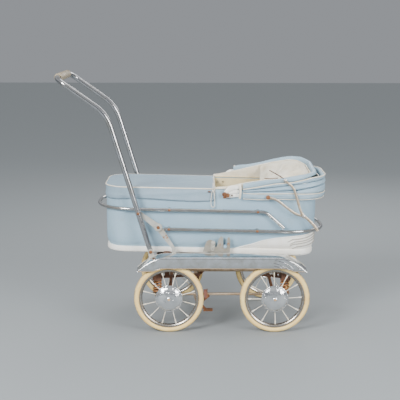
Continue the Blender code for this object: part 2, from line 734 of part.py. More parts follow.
def make_strut_upper(name, side):
    """Upper strut link, on the handle's stud, with its clamp knob."""
    inner = STRUT_LAYER + STRUT_THICKNESS + GAP
    outer = inner + STRUT_THICKNESS
    link = plate(name, link_outline(RIVET_UPPER, KNUCKLE, STRUT_UPPER_WIDTH, KNOB_RADIUS * 1.6),
                 side * inner, side * outer)
    hole = rod("hole", (RIVET_UPPER[0], side * (inner - 0.01), RIVET_UPPER[1]),
               (RIVET_UPPER[0], side * (outer + 0.01), RIVET_UPPER[1]), PIN_RADIUS * 0.8 + RUN, 10)
    cut_shapes(link, hole)
    knob = turned("knob", [(0.0, outer - 0.001), (KNOB_RADIUS, outer - 0.001), (KNOB_RADIUS, outer + KNOB_DEPTH),
                           (KNOB_RADIUS * 0.5, outer + KNOB_DEPTH + 0.001), (0.0, outer + KNOB_DEPTH + 0.001)],
                  (KNUCKLE[0], 0.0, KNUCKLE[1]), steps=16, side=side)
    return join_shapes(link, knob)


def make_strut_lower(name, side):
    inner = STRUT_LAYER
    outer = inner + STRUT_THICKNESS
    link = plate(name, link_outline(KNUCKLE, STRUT_FOOT, KNOB_RADIUS * 1.5, STRUT_LOWER_WIDTH * 0.7),
                 side * inner, side * outer)
    x, z = STRUT_FOOT
    hole = rod("hole", (x, side * (inner - 0.01), z), (x, side * (outer + 0.01), z), PIN_RADIUS * 0.8 + RUN, 10)
    return cut_shapes(link, hole)


def make_strut_bracket(side):
    """Small angle welded to the fender's inner edge. It holds the pin of the lower strut link."""
    inner = STRUT_LAYER + 2 * STRUT_THICKNESS + 2 * GAP + 0.0002
    thick = 0.003
    x, z = STRUT_FOOT
    half = 0.008
    floor = FENDER_TOP_Z - 0.0012
    upright = plate("strut_bracket", [(x - half, floor), (x + half, floor)] + arc((x, z), half, 0.0, math.pi, 6),
                    side * inner, side * (inner + thick))
    flange = slab("flange", (x - half, side * (inner + thick / 2), floor),
                  (x + half, side * (FENDER_INNER + 0.014), floor + thick))
    join_shapes(upright, flange)
    pin = turned("pin", [(0.0, STRUT_LAYER - 0.0012), (PIN_RADIUS * 0.8, STRUT_LAYER - 0.0012),
                         (PIN_RADIUS * 0.8, inner + 0.001), (0.0, inner + 0.001)], (x, 0.0, z), steps=10, side=side)
    return join_shapes(upright, pin)


def make_brake(name):
    """Cross shaft in the hangers, with an arm up to each shoe and one pedal."""
    reach = TRACK_HALF - TYRE_WIDTH / 2 - WHEEL_CLEAR
    x, z = BRAKE_PIVOT
    brake = rod(name, (x, -reach, z), (x, reach, z), BRAKE_SHAFT_RADIUS, 12)
    back_x = pad_front() + PAD_THICKNESS + GAP
    for side in (-1, 1):
        inner = side * (reach - BRAKE_ARM_THICKNESS)
        arm = plate("arm", link_outline((x, z), (back_x + 0.006, PAD_Z - 0.012), BRAKE_ARM_WIDTH),
                    inner, side * reach)
        join_shapes(brake, arm)
        holder = slab("holder", (back_x, inner, PAD_Z - PAD_HEIGHT / 2),
                      (back_x + 0.003, side * (TRACK_HALF + PAD_WIDTH / 2), PAD_Z + PAD_HEIGHT / 2))
        join_shapes(brake, holder)
    pedal_y = -SIDE_BAR_HALF + 0.012
    stem = plate("stem", link_outline((x, z), PEDAL_END, BRAKE_ARM_WIDTH), pedal_y, pedal_y + BRAKE_ARM_THICKNESS)
    join_shapes(brake, stem)
    tread = slab("tread", (PEDAL_END[0] - PEDAL_LENGTH * 0.2, pedal_y - PEDAL_HALF, PEDAL_END[1] - 0.004),
                 (PEDAL_END[0] + PEDAL_LENGTH * 0.8, pedal_y + PEDAL_HALF, PEDAL_END[1] + 0.002))
    return join_shapes(brake, tread)


def pad_front():
    """Nearest place to the tyre that the flat shoe can have over its height."""
    rise = PAD_Z - WHEEL_RADIUS - PAD_HEIGHT / 2
    outer = WHEEL_RADIUS / math.cos(math.pi / WHEEL_FACETS)
    return -WHEEL_X + math.sqrt(outer ** 2 - rise ** 2) + RUN


def make_brake_pad(name, side):
    """Rubber shoe, hollowed to the tyre's curve."""
    front = pad_front() - 0.003
    back = pad_front() + PAD_THICKNESS
    half = PAD_WIDTH / 2
    pad = slab(name, (front, side * TRACK_HALF - half, PAD_Z - PAD_HEIGHT / 2),
               (back, side * TRACK_HALF + half, PAD_Z + PAD_HEIGHT / 2))
    outer = WHEEL_RADIUS / math.cos(math.pi / WHEEL_FACETS) + RUN
    curve = turned("tyre_space", disc_profile(outer, -0.02, 0.02), (-WHEEL_X, side * TRACK_HALF, WHEEL_RADIUS),
                   steps=64)
    return cut_shapes(pad, curve)


def make_latch_plate(name, side):
    """Pressed plate with a slot, open to the top, that takes the cot's peg."""
    inner = LATCH_LAYER
    outer = inner + LATCH_THICKNESS
    peg = cot_to_world(PEG_X, PEG_Z)
    slot = PEG_RADIUS + RUN
    base = LATCH_BASE_Z
    top = LATCH_TOP_Z
    outline = [(-0.046, base), (0.030, base), (0.031, top - 0.012), (0.027, top - 0.003)]
    outline += [(peg[0] + slot + 0.002, top - 0.006)]
    outline += arc((peg[0], peg[1]), slot, 0.0, -math.pi, 8)
    outline += [(peg[0] - slot - 0.001, top - 0.002), (peg[0] - slot - 0.010, top), (-0.012, top - 0.012)]
    outline += [(-0.018, LATCH_KNOB[1] - 0.014), (-0.042, LATCH_KNOB[1] - 0.018)]
    latch = plate(name, outline, side * inner, side * outer)
    flange = slab("flange", (-0.040, side * (inner + 0.001), base - 0.0025),
                  (0.028, side * (FENDER_INNER + 0.016), base + 0.0005))
    join_shapes(latch, flange)
    pin = turned("pin", [(0.0, inner + 0.001), (PIN_RADIUS * 0.8, inner + 0.001),
                         (PIN_RADIUS * 0.8, outer + LATCH_THICKNESS), (0.0, outer + LATCH_THICKNESS)],
                 (LATCH_KNOB[0] - 0.002, 0.0, base + 0.009), steps=10, side=side)
    return join_shapes(latch, pin)


def make_latch_lever(name, side):
    """Lever with a finger knob. It swings over the slot and shuts the cot's peg in."""
    inner = LATCH_LAYER + LATCH_THICKNESS + GAP
    outer = inner + 0.0025
    pivot = (LATCH_KNOB[0] - 0.002, LATCH_BASE_Z + 0.009)
    lever = plate(name, link_outline(pivot, LATCH_KNOB, 0.014, 0.018), side * inner, side * outer)
    hole = rod("hole", (pivot[0], side * (inner - 0.01), pivot[1]), (pivot[0], side * (outer + 0.01), pivot[1]),
               PIN_RADIUS * 0.8 + RUN, 10)
    cut_shapes(lever, hole)
    knob = turned("knob", [(0.0, outer - 0.001), (LATCH_KNOB_RADIUS, outer - 0.001),
                           (LATCH_KNOB_RADIUS, outer + 0.0020), (LATCH_KNOB_RADIUS * 0.6, outer + 0.0032),
                           (0.0, outer + 0.0032)], (LATCH_KNOB[0], 0.0, LATCH_KNOB[1]), steps=14, side=side)
    return join_shapes(lever, knob)


def cot_to_world(x, z):
    return (COT_FRAME_X + x * math.cos(COT_TILT) + z * math.sin(COT_TILT),
            COT_FRAME_Z - x * math.sin(COT_TILT) + z * math.cos(COT_TILT))


def rest_top(x):
    """Height of the cot's flat bottom over a place along the pram, less the clearance."""
    lie = (COT_FRAME_X - x) * math.tan(COT_TILT)
    return COT_FRAME_Z + lie - GAP / math.cos(COT_TILT)


def make_cot_rest(x):
    """Cross bar that the cot's tray rests on, its top cut to the cot's tilt."""
    half = REST_WIDTH / 2
    top = rest_top(x)
    slope = half * math.tan(COT_TILT)
    ends = FENDER_INNER - GAP
    return plate("cot_rest", [(x - half, top + slope - REST_THICKNESS), (x + half, top - slope - REST_THICKNESS),
                              (x + half, top - slope), (x - half, top + slope)], -ends, ends)


def plan(inset, steps=CORNER_STEPS):
    """The cot's plan outline, drawn in by an inset, anticlockwise from the head end's near corner."""
    length = COT_HALF_LENGTH - inset
    width = COT_HALF_WIDTH - inset
    corner = max(0.010, COT_CORNER - inset)
    outline = []
    for sx, sy, start in ((1, -1, -0.5), (1, 1, 0.0), (-1, 1, 0.5), (-1, -1, 1.0)):
        centre = (COT_CENTRE_X + sx * (length - corner), sy * (width - corner))
        outline += arc(centre, corner, start * math.pi, (start + 0.5) * math.pi, steps)
    return outline


def wall_inset(z):
    """The cot's walls draw in a little towards the bottom, with a rounded lower corner."""
    height = max(0.0, z - TRAY_HEIGHT)
    taper = 0.004 * (1 - min(1.0, height / 0.12))
    corner = 0.010 * max(0.0, 1 - height / 0.030) ** 2
    return taper + corner


def wall_ring(z, inset=0.0):
    """The cot's wall in plan at one height, drawn in by a further inset."""
    return [(x, y, z) for x, y in plan(wall_inset(z) + inset)]


def make_cot_shell(name):
    rings = [wall_ring(z) for z in (*WALL_LEVELS, COT_RIM_Z)]
    rings += [wall_ring(z, COT_WALL) for z in (COT_RIM_Z, SIDE_KNEE_Z, COT_FLOOR_Z)]
    shell = loft(name, rings)
    for side in (-1, 1):
        peg = turned("peg", [(0.0, COT_HALF_WIDTH - COT_WALL * 0.6), (PEG_RADIUS, COT_HALF_WIDTH - COT_WALL * 0.6),
                             (PEG_RADIUS, PEG_REACH), (0.0, PEG_REACH)], (PEG_X, 0.0, PEG_Z), steps=12, side=side)
        join_shapes(shell, peg)
        stud_end = BRACE_LAYER + BRACE_THICKNESS - 0.0004
        start = COT_HALF_WIDTH - COT_WALL * 0.6
        stud = turned("stud", [(0.0, start), (BRACE_PIN, start), (BRACE_PIN, stud_end), (0.0, stud_end)],
                      (BRACE_FOOT[0], 0.0, BRACE_FOOT[1]), steps=10, side=side)
        join_shapes(shell, stud)
    return shell


def make_hood_hinge(name, side):
    """Plate on the cot's wall with the stud that the three bows turn on."""
    inner = COT_HALF_WIDTH + GAP
    outer = inner + HINGE_THICKNESS
    x, z = HOOD_PIVOT
    half = HINGE_WIDTH / 2
    hinge = plate(name, arc((x, z), half * 0.8, 0.0, math.pi, 8) + [(x - half, z - 0.014), (x + half * 0.6, z - 0.014)],
                  side * inner, side * outer)
    end = bow_layer(3) + 0.0006
    stud = turned("stud", [(0.0, outer - 0.001), (HINGE_STUD_RADIUS, outer - 0.001), (HINGE_STUD_RADIUS, end),
                           (HINGE_STUD_RADIUS * 1.8, end), (HINGE_STUD_RADIUS * 1.5, end + 0.002),
                           (0.0, end + 0.0025)], (x, 0.0, z), steps=12, side=side)
    return join_shapes(hinge, stud)


def tray_bottom(x):
    return -TRAY_DROP * ease((x - TRAY_DROP_START) / (TRAY_DROP_END - TRAY_DROP_START))


def make_cot_tray(name):
    """White bottom moulding, with the panel that sweeps up round the head end. It deepens under that end."""
    tray = loft(name, [[(x, y, z) for x, y in plan(inset)] for z, inset in
                       ((0.0, TRAY_FOOT_INSET), (TRAY_BEVEL, TRAY_EDGE_INSET),
                        (TRAY_HEIGHT, wall_inset(TRAY_HEIGHT) - TRAY_LIP))])
    plinth = []
    for lift, inset in ((0.0, TRAY_FOOT_INSET), (PLINTH_LAP, TRAY_EDGE_INSET)):
        ends = [p for p in plan(inset) if p[0] > TRAY_DROP_START]
        ends = [(TRAY_DROP_START, ends[0][1])] + ends + [(TRAY_DROP_START, ends[-1][1])]
        plinth.append([(x, y, tray_bottom(x) + lift) for x, y in ends])
    join_shapes(tray, loft("plinth", plinth))
    return join_shapes(tray, make_flash())


def make_lining(name):
    """Thin padded lining of the cot's inside, open at the top."""
    clear = COT_WALL + GAP
    rim = COT_RIM_Z - 0.002
    rings = [wall_ring(z, clear) for z in (COT_FLOOR_Z + GAP, SIDE_KNEE_Z, rim)]
    rings += [wall_ring(z, clear + LINING_THICKNESS) for z in (rim, SIDE_KNEE_Z, COT_FLOOR_Z + LINING_THICKNESS)]
    return loft(name, rings)


def flash_edge(distance):
    """Height of the flash's upper edge at a distance along the wall from where it starts."""
    for (d0, z0), (d1, z1) in zip(FLASH_CURVE, FLASH_CURVE[1:]):
        if distance <= d1:
            return z0 + (z1 - z0) * (distance - d0) / (d1 - d0)
    return FLASH_CURVE[-1][1]


def make_flash():
    """The panel that sweeps up round the head end, a thin skin on the wall."""
    low = TRAY_HEIGHT - 0.0015
    line = [(FLASH_START_X, -COT_HALF_WIDTH)]
    line += [(FLASH_START_X + step, -COT_HALF_WIDTH) for step, _ in FLASH_CURVE[1:4]]
    corner = plan(0.0)[:CORNER_STEPS + 1]
    line += [(x, y) for x, y in corner]
    line += [(corner[-1][0], 0.0)]
    line += [(x, -y) for x, y in reversed(line[:-1])]
    travel = [0.0]
    for a, b in zip(line, line[1:]):
        travel.append(travel[-1] + math.dist(a, b))
    rings = []
    for (x, y), run in zip(line, travel):
        high = flash_edge(min(run, travel[-1] - run))
        levels = [low]
        for k, level in enumerate(WALL_LEVELS[1:]):
            levels.append(min(level, low + (high - low) * (k + 1) / len(WALL_LEVELS)))
        ring = [offset_from_wall(x, y, z, FLASH_SEAT) for z in levels + [high]]
        ring += [offset_from_wall(x, y, z, FLASH_SEAT + FLASH_THICKNESS) for z in [high - 0.001] + levels[::-1]]
        rings.append(ring)
    return loft("flash", rings)


def offset_from_wall(x, y, z, out):
    """A place on the tapered wall at height z, stood off by a distance."""
    corner_x = COT_HALF_LENGTH - COT_CORNER
    corner_y = COT_HALF_WIDTH - COT_CORNER
    local = Vector((x - COT_CENTRE_X, y))
    core = Vector((max(-corner_x, min(corner_x, local.x)), max(-corner_y, min(corner_y, local.y))))
    outward = (local - core).normalized()
    place = core + outward * (COT_CORNER - wall_inset(z) + out)
    return (place.x + COT_CENTRE_X, place.y, z)


def rail_plan(end, start_x):
    """Half of a rail in plan, from its near end round one end of the cot to the far end."""
    y = COT_HALF_WIDTH + RAIL_OFFSET
    tip = COT_CENTRE_X + end * (COT_HALF_LENGTH + RAIL_END_STAND)
    return [(start_x, -y), (tip, -y), (tip, y), (start_x, y)]


def spacer(x, z, side):
    start = COT_HALF_WIDTH + GAP
    end = COT_HALF_WIDTH + RAIL_OFFSET
    return turned("spacer", [(0.0, start), (SPACER_RADIUS, start), (SPACER_RADIUS * 0.8, end), (0.0, end)],
                  (x, 0.0, z), steps=10, side=side)


def make_upper_rail(name):
    """Tube round the foot end. Its two front ends bend down and are open."""
    plan_points = rail_plan(-1, RAIL_DROP_START_X)
    y = COT_HALF_WIDTH + RAIL_OFFSET
    z = UPPER_RAIL_Z
    corners = [(RAIL_OPEN_END[0], -y, RAIL_OPEN_END[1])] + [(px, py, z) for px, py in plan_points]
    corners += [(RAIL_OPEN_END[0], y, RAIL_OPEN_END[1])]
    path = rounded_path(corners, [0.045, RAIL_END_RADIUS, RAIL_END_RADIUS, 0.045], 7)
    rail = sweep(name, path, RAIL_RADIUS, 8)
    for side in (-1, 1):
        for x in (-RAIL_RIVET_X, RAIL_RIVET_X):
            join_shapes(rail, spacer(x, z, side))
    return rail


def make_lower_rail(name):
    corners = [(px, py, LOWER_RAIL_Z) for px, py in rail_plan(1, LOWER_RAIL_END_X)]
    path = rounded_path(corners, [RAIL_END_RADIUS, RAIL_END_RADIUS], 8)
    rail = sweep(name, path, RAIL_RADIUS, 8)
    for side in (-1, 1):
        for x in (-RAIL_RIVET_X, RAIL_RIVET_X):
            join_shapes(rail, spacer(x, LOWER_RAIL_Z, side))
    return rail


def make_apron(name):
    """Cover over the foot half: a slightly sagging top, and a skirt that hangs outside the walls in soft folds."""
    half = plan(0.0)
    foot = [p for p in half if p[0] < COT_CENTRE_X]
    foot.sort(key=lambda p: math.atan2(p[1], p[0] - COT_CENTRE_X) % (2 * math.pi))
    edge = [(APRON_END_X, COT_HALF_WIDTH)]
    straight = [(APRON_END_X + (foot[0][0] - APRON_END_X) * k / 6, COT_HALF_WIDTH) for k in range(1, 6)]
    edge += straight + foot + [(x, -y) for x, y in reversed(straight)] + [(APRON_END_X, -COT_HALF_WIDTH)]
    travel = [0.0]
    for a, b in zip(edge, edge[1:]):
        travel.append(travel[-1] + math.dist(a, b))
    total = travel[-1]
    sections = []
    for (x, y), run in zip(edge, travel):
        wave = 0.5 - 0.5 * math.cos(2 * math.pi * FOLD_COUNT * run / total)
        hem = APRON_SKIRT_Z + 0.004 * math.sin(6 * math.pi * run / total)
        under = COT_RIM_Z + GAP
        out = APRON_CLEAR + FOLD_DEPTH * wave
        outside = [offset_from_wall(x, y, COT_RIM_Z, APRON_CLEAR), offset_from_wall(x, y, COT_RIM_Z, out)]
        bottom_in = (*outside[1][:2], hem)
        body = offset_from_wall(x, y, COT_RIM_Z, APRON_CLEAR + APRON_CLOTH)
        bottom_out = offset_from_wall(x, y, COT_RIM_Z, out + APRON_CLOTH * 0.8)
        sections.append([
            (*outside[0][:2], under), bottom_in, (*bottom_out[:2], hem),
            (*body[:2], under), (body[0], body[1], under + APRON_CLOTH * 0.8),
            (*offset_from_wall(x, y, COT_RIM_Z, 0.0)[:2], under + APRON_CLOTH * 1.1)])
    skirt = loft(name, sections)
    top = apron_top(edge)
    return join_shapes(skirt, top)


def apron_top(edge):
    """The apron's top, sagging between the cot's walls."""
    builder = bmesh.new()
    under = COT_RIM_Z + GAP
    rings = []
    outer_edge = [offset_from_wall(x, y, COT_RIM_Z, APRON_CLEAR + APRON_CLOTH / 2)[:2] for x, y in edge]
    for share in (1.0, TOP_FLAT_SHARE, 0.5):
        ring = []
        for x, y in outer_edge:
            centre_x = (APRON_END_X + COT_CENTRE_X - COT_HALF_LENGTH) / 2
            px = centre_x + (x - centre_x) * share
            py = y * share
            sag = 0.0 if share >= TOP_FLAT_SHARE else APRON_SAG
            ring.append((px, py, sag))
        rings.append(ring)
    lower = [[builder.verts.new((x, y, under - sag)) for x, y, sag in ring] for ring in rings]
    upper = [[builder.verts.new((x, y, under - sag + APRON_CLOTH)) for x, y, sag in ring] for ring in rings]
    count = len(edge)
    for rows in (lower, upper):
        for outer, inner in zip(rows, rows[1:]):
            for i in range(count):
                j = (i + 1) % count
                builder.faces.new((outer[i], outer[j], inner[j], inner[i]))
        builder.faces.new(rows[-1])
    for i in range(count):
        j = (i + 1) % count
        builder.faces.new((lower[0][i], lower[0][j], upper[0][j], upper[0][i]))
    return finish_mesh(builder, "apron_top")


def make_cord_loop(name):
    """Short fastening loop that hangs from the apron's near front corner."""
    knot_half = 0.003
    y = -(COT_HALF_WIDTH + APRON_CLEAR + APRON_CLOTH + knot_half + GAP)
    x = APRON_END_X - 0.006
    top = COT_RIM_Z - 0.006
    half = 0.006
    low = top - 0.060
    path = [(x - 0.001, y, top), (x + half, y, top - 0.012), (x + half + 0.001, y, low + 0.012)]
    path += [(x + half * math.sin(a), y, low + half * (1 - math.cos(a))) for a in (1.2, 0.4, -0.4, -1.2)]
    path += [(x - half - 0.001, y, low + 0.014), (x - half, y, top - 0.014), (x - 0.003, y, top - 0.001)]
    loop = sweep(name, path, CORD_RADIUS, 6)
    knot = turned("knot", [(0.0, -knot_half), (0.004, -0.0025), (0.0045, 0.0), (0.004, 0.0025), (0.0, knot_half)],
                  (x - 0.002, y, top + 0.001), steps=10)
    return join_shapes(loop, knot)


def hood_place(out, y, angle, lift=0.0):
    """A place out from the hinge along an angle, lifted square to it."""
    x = HOOD_PIVOT[0] + out * math.cos(angle) - lift * math.sin(angle)
    z = HOOD_PIVOT[1] + out * math.sin(angle) + lift * math.cos(angle)
    return (x, y, z)


def bow_plan(start, reach, half_width, corner, steps=6):
    """Points of a U in the bow's own plane: distance from the hinge, and y."""
    near = arc((reach - corner, -(half_width - corner)), corner, -math.pi / 2, 0.0, steps)
    far = [(x, -y) for x, y in reversed(near)]
    middle = (start + reach - corner) / 2
    return [(start, -half_width), (middle, -half_width)] + near + far + [(middle, half_width), (start, half_width)]


def bow_layer(layer):
    """Inner face of a bow's eye on the hinge stud. The eyes lie side by side."""
    return BOW_HALF_WIDTH + layer * (EYE_THICKNESS + GAP + 0.0002)


def make_bow(name, angle, layer):
    """Round steel bow with a long flat eye at each end, on the hinge stud."""
    eye_in = bow_layer(layer)
    eye_out = eye_in + EYE_THICKNESS
    width = (eye_in + eye_out) / 2
    path = [hood_place(out, y, angle) for out, y in bow_plan(BOW_STRIP_LENGTH, BOW_REACH, width, BOW_CORNER)]
    bow = sweep(name, path, BOW_RADIUS, 6)
    for side in (-1, 1):
        start = hood_place(0.0, 0.0, angle)
        end = hood_place(BOW_STRIP_LENGTH + STRIP_LAP, 0.0, angle)
        eye = plate("eye", link_outline((start[0], start[2]), (end[0], end[2]), EYE_HALF * 2, BOW_RADIUS * 1.8),
                    side * eye_in, side * eye_out)
        join_shapes(bow, eye)
        hole = rod("hole", (HOOD_PIVOT[0], side * (eye_in - 0.01), HOOD_PIVOT[1]),
                   (HOOD_PIVOT[0], side * (eye_out + 0.01), HOOD_PIVOT[1]), HINGE_STUD_RADIUS + RUN, 10)
        cut_shapes(bow, hole)
    return bow


def add_brace_stud(bow, side):
    """Small plate on the front bow with the stud of the brace's upper link."""
    inner = BOW_HALF_WIDTH + CLOTH_SIDE + CLOTH_OUTSIDE + CLOTH_CLEAR
    outer = inner + BRACE_THICKNESS
    seat = Vector(BRACE_STUD) - Vector(HOOD_PIVOT)
    out = seat.length * math.cos(math.atan2(seat.y, seat.x) - BOW_FRONT_ANGLE)
    foot = hood_place(out, 0.0, BOW_FRONT_ANGLE)
    lug = plate("lug", link_outline((foot[0], foot[2]), BRACE_STUD, BRACE_WIDTH * 1.2, BRACE_WIDTH),
                side * inner, side * outer)
    join_shapes(bow, lug)
    end = BRACE_LAYER + BRACE_THICKNESS
    stud = turned("stud", [(0.0, inner), (BRACE_PIN, inner), (BRACE_PIN, end), (0.0, end)],
                  (BRACE_STUD[0], 0.0, BRACE_STUD[1]), steps=10, side=side)
    return join_shapes(bow, stud)


def make_brace_lower(name, side):
    inner = BRACE_LAYER
    outer = inner + BRACE_THICKNESS
    link = plate(name, link_outline(BRACE_FOOT, BRACE_JOINT, BRACE_WIDTH), side * inner, side * outer)
    for place in (BRACE_FOOT, BRACE_JOINT):
        hole = rod("hole", (place[0], side * (inner - 0.01), place[1]), (place[0], side * (outer + 0.01), place[1]),
                   BRACE_PIN + RUN, 10)
        cut_shapes(link, hole)
    return link


def make_brace_upper(name, side):
    """Upper brace link. It runs on past the joint as the tail that a hand pushes, with a plastic tip."""
    inner = BRACE_LAYER + BRACE_THICKNESS + GAP
    outer = inner + BRACE_THICKNESS
    link = plate(name, link_outline(BRACE_STUD, BRACE_JOINT, BRACE_WIDTH), side * inner, side * outer)
    tail = plate("tail", link_outline(BRACE_JOINT, BRACE_TIP, BRACE_WIDTH, BRACE_WIDTH * 1.3),
                 side * inner, side * outer)
    join_shapes(link, tail)
    rivet = turned("rivet", [(0.0, outer - 0.0008), (BRACE_PIN, outer - 0.0008), (BRACE_PIN * 0.7, outer + 0.0010),
                             (0.0, outer + 0.0013)], (BRACE_STUD[0], 0.0, BRACE_STUD[1]), steps=10, side=side)
    join_shapes(link, rivet)
    tail_end = BRACE_LAYER - 0.0008
    pin = turned("pin", [(0.0, tail_end), (BRACE_PIN, tail_end), (BRACE_PIN, outer - 0.0008), (0.0, outer - 0.0008)],
                 (BRACE_JOINT[0], 0.0, BRACE_JOINT[1]), steps=10, side=side)
    return join_shapes(link, pin)


def cloth_band(name, start, low, high, inside, outside, bulge=0.0):
    """A soft band of folded hood round the U. low and high give its lower and upper surface,
    each as a function from the run along the bow to (angle, lift)."""
    inner = bow_plan(start, BOW_REACH - inside, BOW_HALF_WIDTH - inside + CLOTH_SIDE, BOW_CORNER - inside)
    outer = bow_plan(start, BOW_REACH + outside + bulge, BOW_HALF_WIDTH + CLOTH_SIDE + outside, BOW_CORNER + outside)
    rings = []
    for (inner_out, inner_y), (outer_out, outer_y) in zip(inner, outer):
        ring = []
        for share, surface, crown in ((0.0, low, 0.0008), (0.5, low, 0.0), (1.0, low, 0.0010),
                                      (1.0, high, -0.0012), (0.55, high, 0.0), (0.0, high, -0.0008)):
            out = inner_out + (outer_out - inner_out) * share
            y = inner_y + (outer_y - inner_y) * share
            angle, lift = surface(out)
            ring.append(hood_place(out, y, angle, lift + crown))
        rings.append(ring)
    return loft(name, rings)


def between_bows(low_angle, high_angle):
    """Surfaces of a layer that lies between two bows, clear of both."""
    clear = BOW_RADIUS + CLOTH_CLEAR

    def low(out):
        return (low_angle, clear)

    def high(out):
        return (high_angle, -clear)
    return low, high


def make_hood_cloth(name, low_angle, high_angle):
    low, high = between_bows(low_angle, high_angle)
    return cloth_band(name, LAYER_START, low, high, CLOTH_INSIDE, CLOTH_OUTSIDE, CLOTH_BULGE)


def top_lift(out):
    """How far the top layer stands above the front bow: level near the sides, low over the end."""
    rise = 0.0335 - 0.012 * out / BOW_REACH
    return rise * (1 - TOP_THINNING * ease((out - TOP_THIN_START) / TOP_THIN_RUN))


def strip_half(out):
    """Half the width of a bow's flat eye strip at a distance from the hinge."""
    share = min(1.0, out / (BOW_STRIP_LENGTH + STRIP_LAP))
    return EYE_HALF + (BOW_RADIUS * 0.9 - EYE_HALF) * share


def make_hood_top(name):
    """The layer over the front bow. It bunches up level along the sides."""
    def low(out):
        return (BOW_FRONT_ANGLE, max(BOW_RADIUS, strip_half(out)) + CLOTH_CLEAR)

    def high(out):
        return (BOW_FRONT_ANGLE, top_lift(out))
    return cloth_band(name, TOP_START, low, high, CLOTH_INSIDE, CLOTH_OUTSIDE, CLOTH_BULGE)


def make_hood_lining(name):
    """The bunched lining inside the bows, lying on the cot's rim."""
    outer = CLOTH_INSIDE + LINING_CLEAR

    def low(out):
        rise = COT_RIM_Z + GAP - HOOD_PIVOT[1] - out * math.sin(BOW_FRONT_ANGLE)
        return (BOW_FRONT_ANGLE, rise / math.cos(BOW_FRONT_ANGLE))

    def high(out):
        return (BOW_FRONT_ANGLE, top_lift(out) - LINING_SINK)
    return cloth_band(name, BOW_STRIP_LENGTH, low, high, outer + HOOD_LINING_DEPTH, -outer)


def make_hood_valance(name):
    """The hood's lowest layer, fastened round the cot's head end under the rear bow."""
    def low(out):
        drop = VALANCE_DROP * ease((out - VALANCE_DROP_START) / VALANCE_DROP_RUN)
        return (BOW_REAR_ANGLE, -BOW_RADIUS - GAP - VALANCE_EDGE - drop)

    def high(out):
        return (BOW_REAR_ANGLE, -BOW_RADIUS - GAP)
    return cloth_band(name, VALANCE_START, low, high, CLOTH_INSIDE, CLOTH_OUTSIDE * 0.6, CLOTH_BULGE)


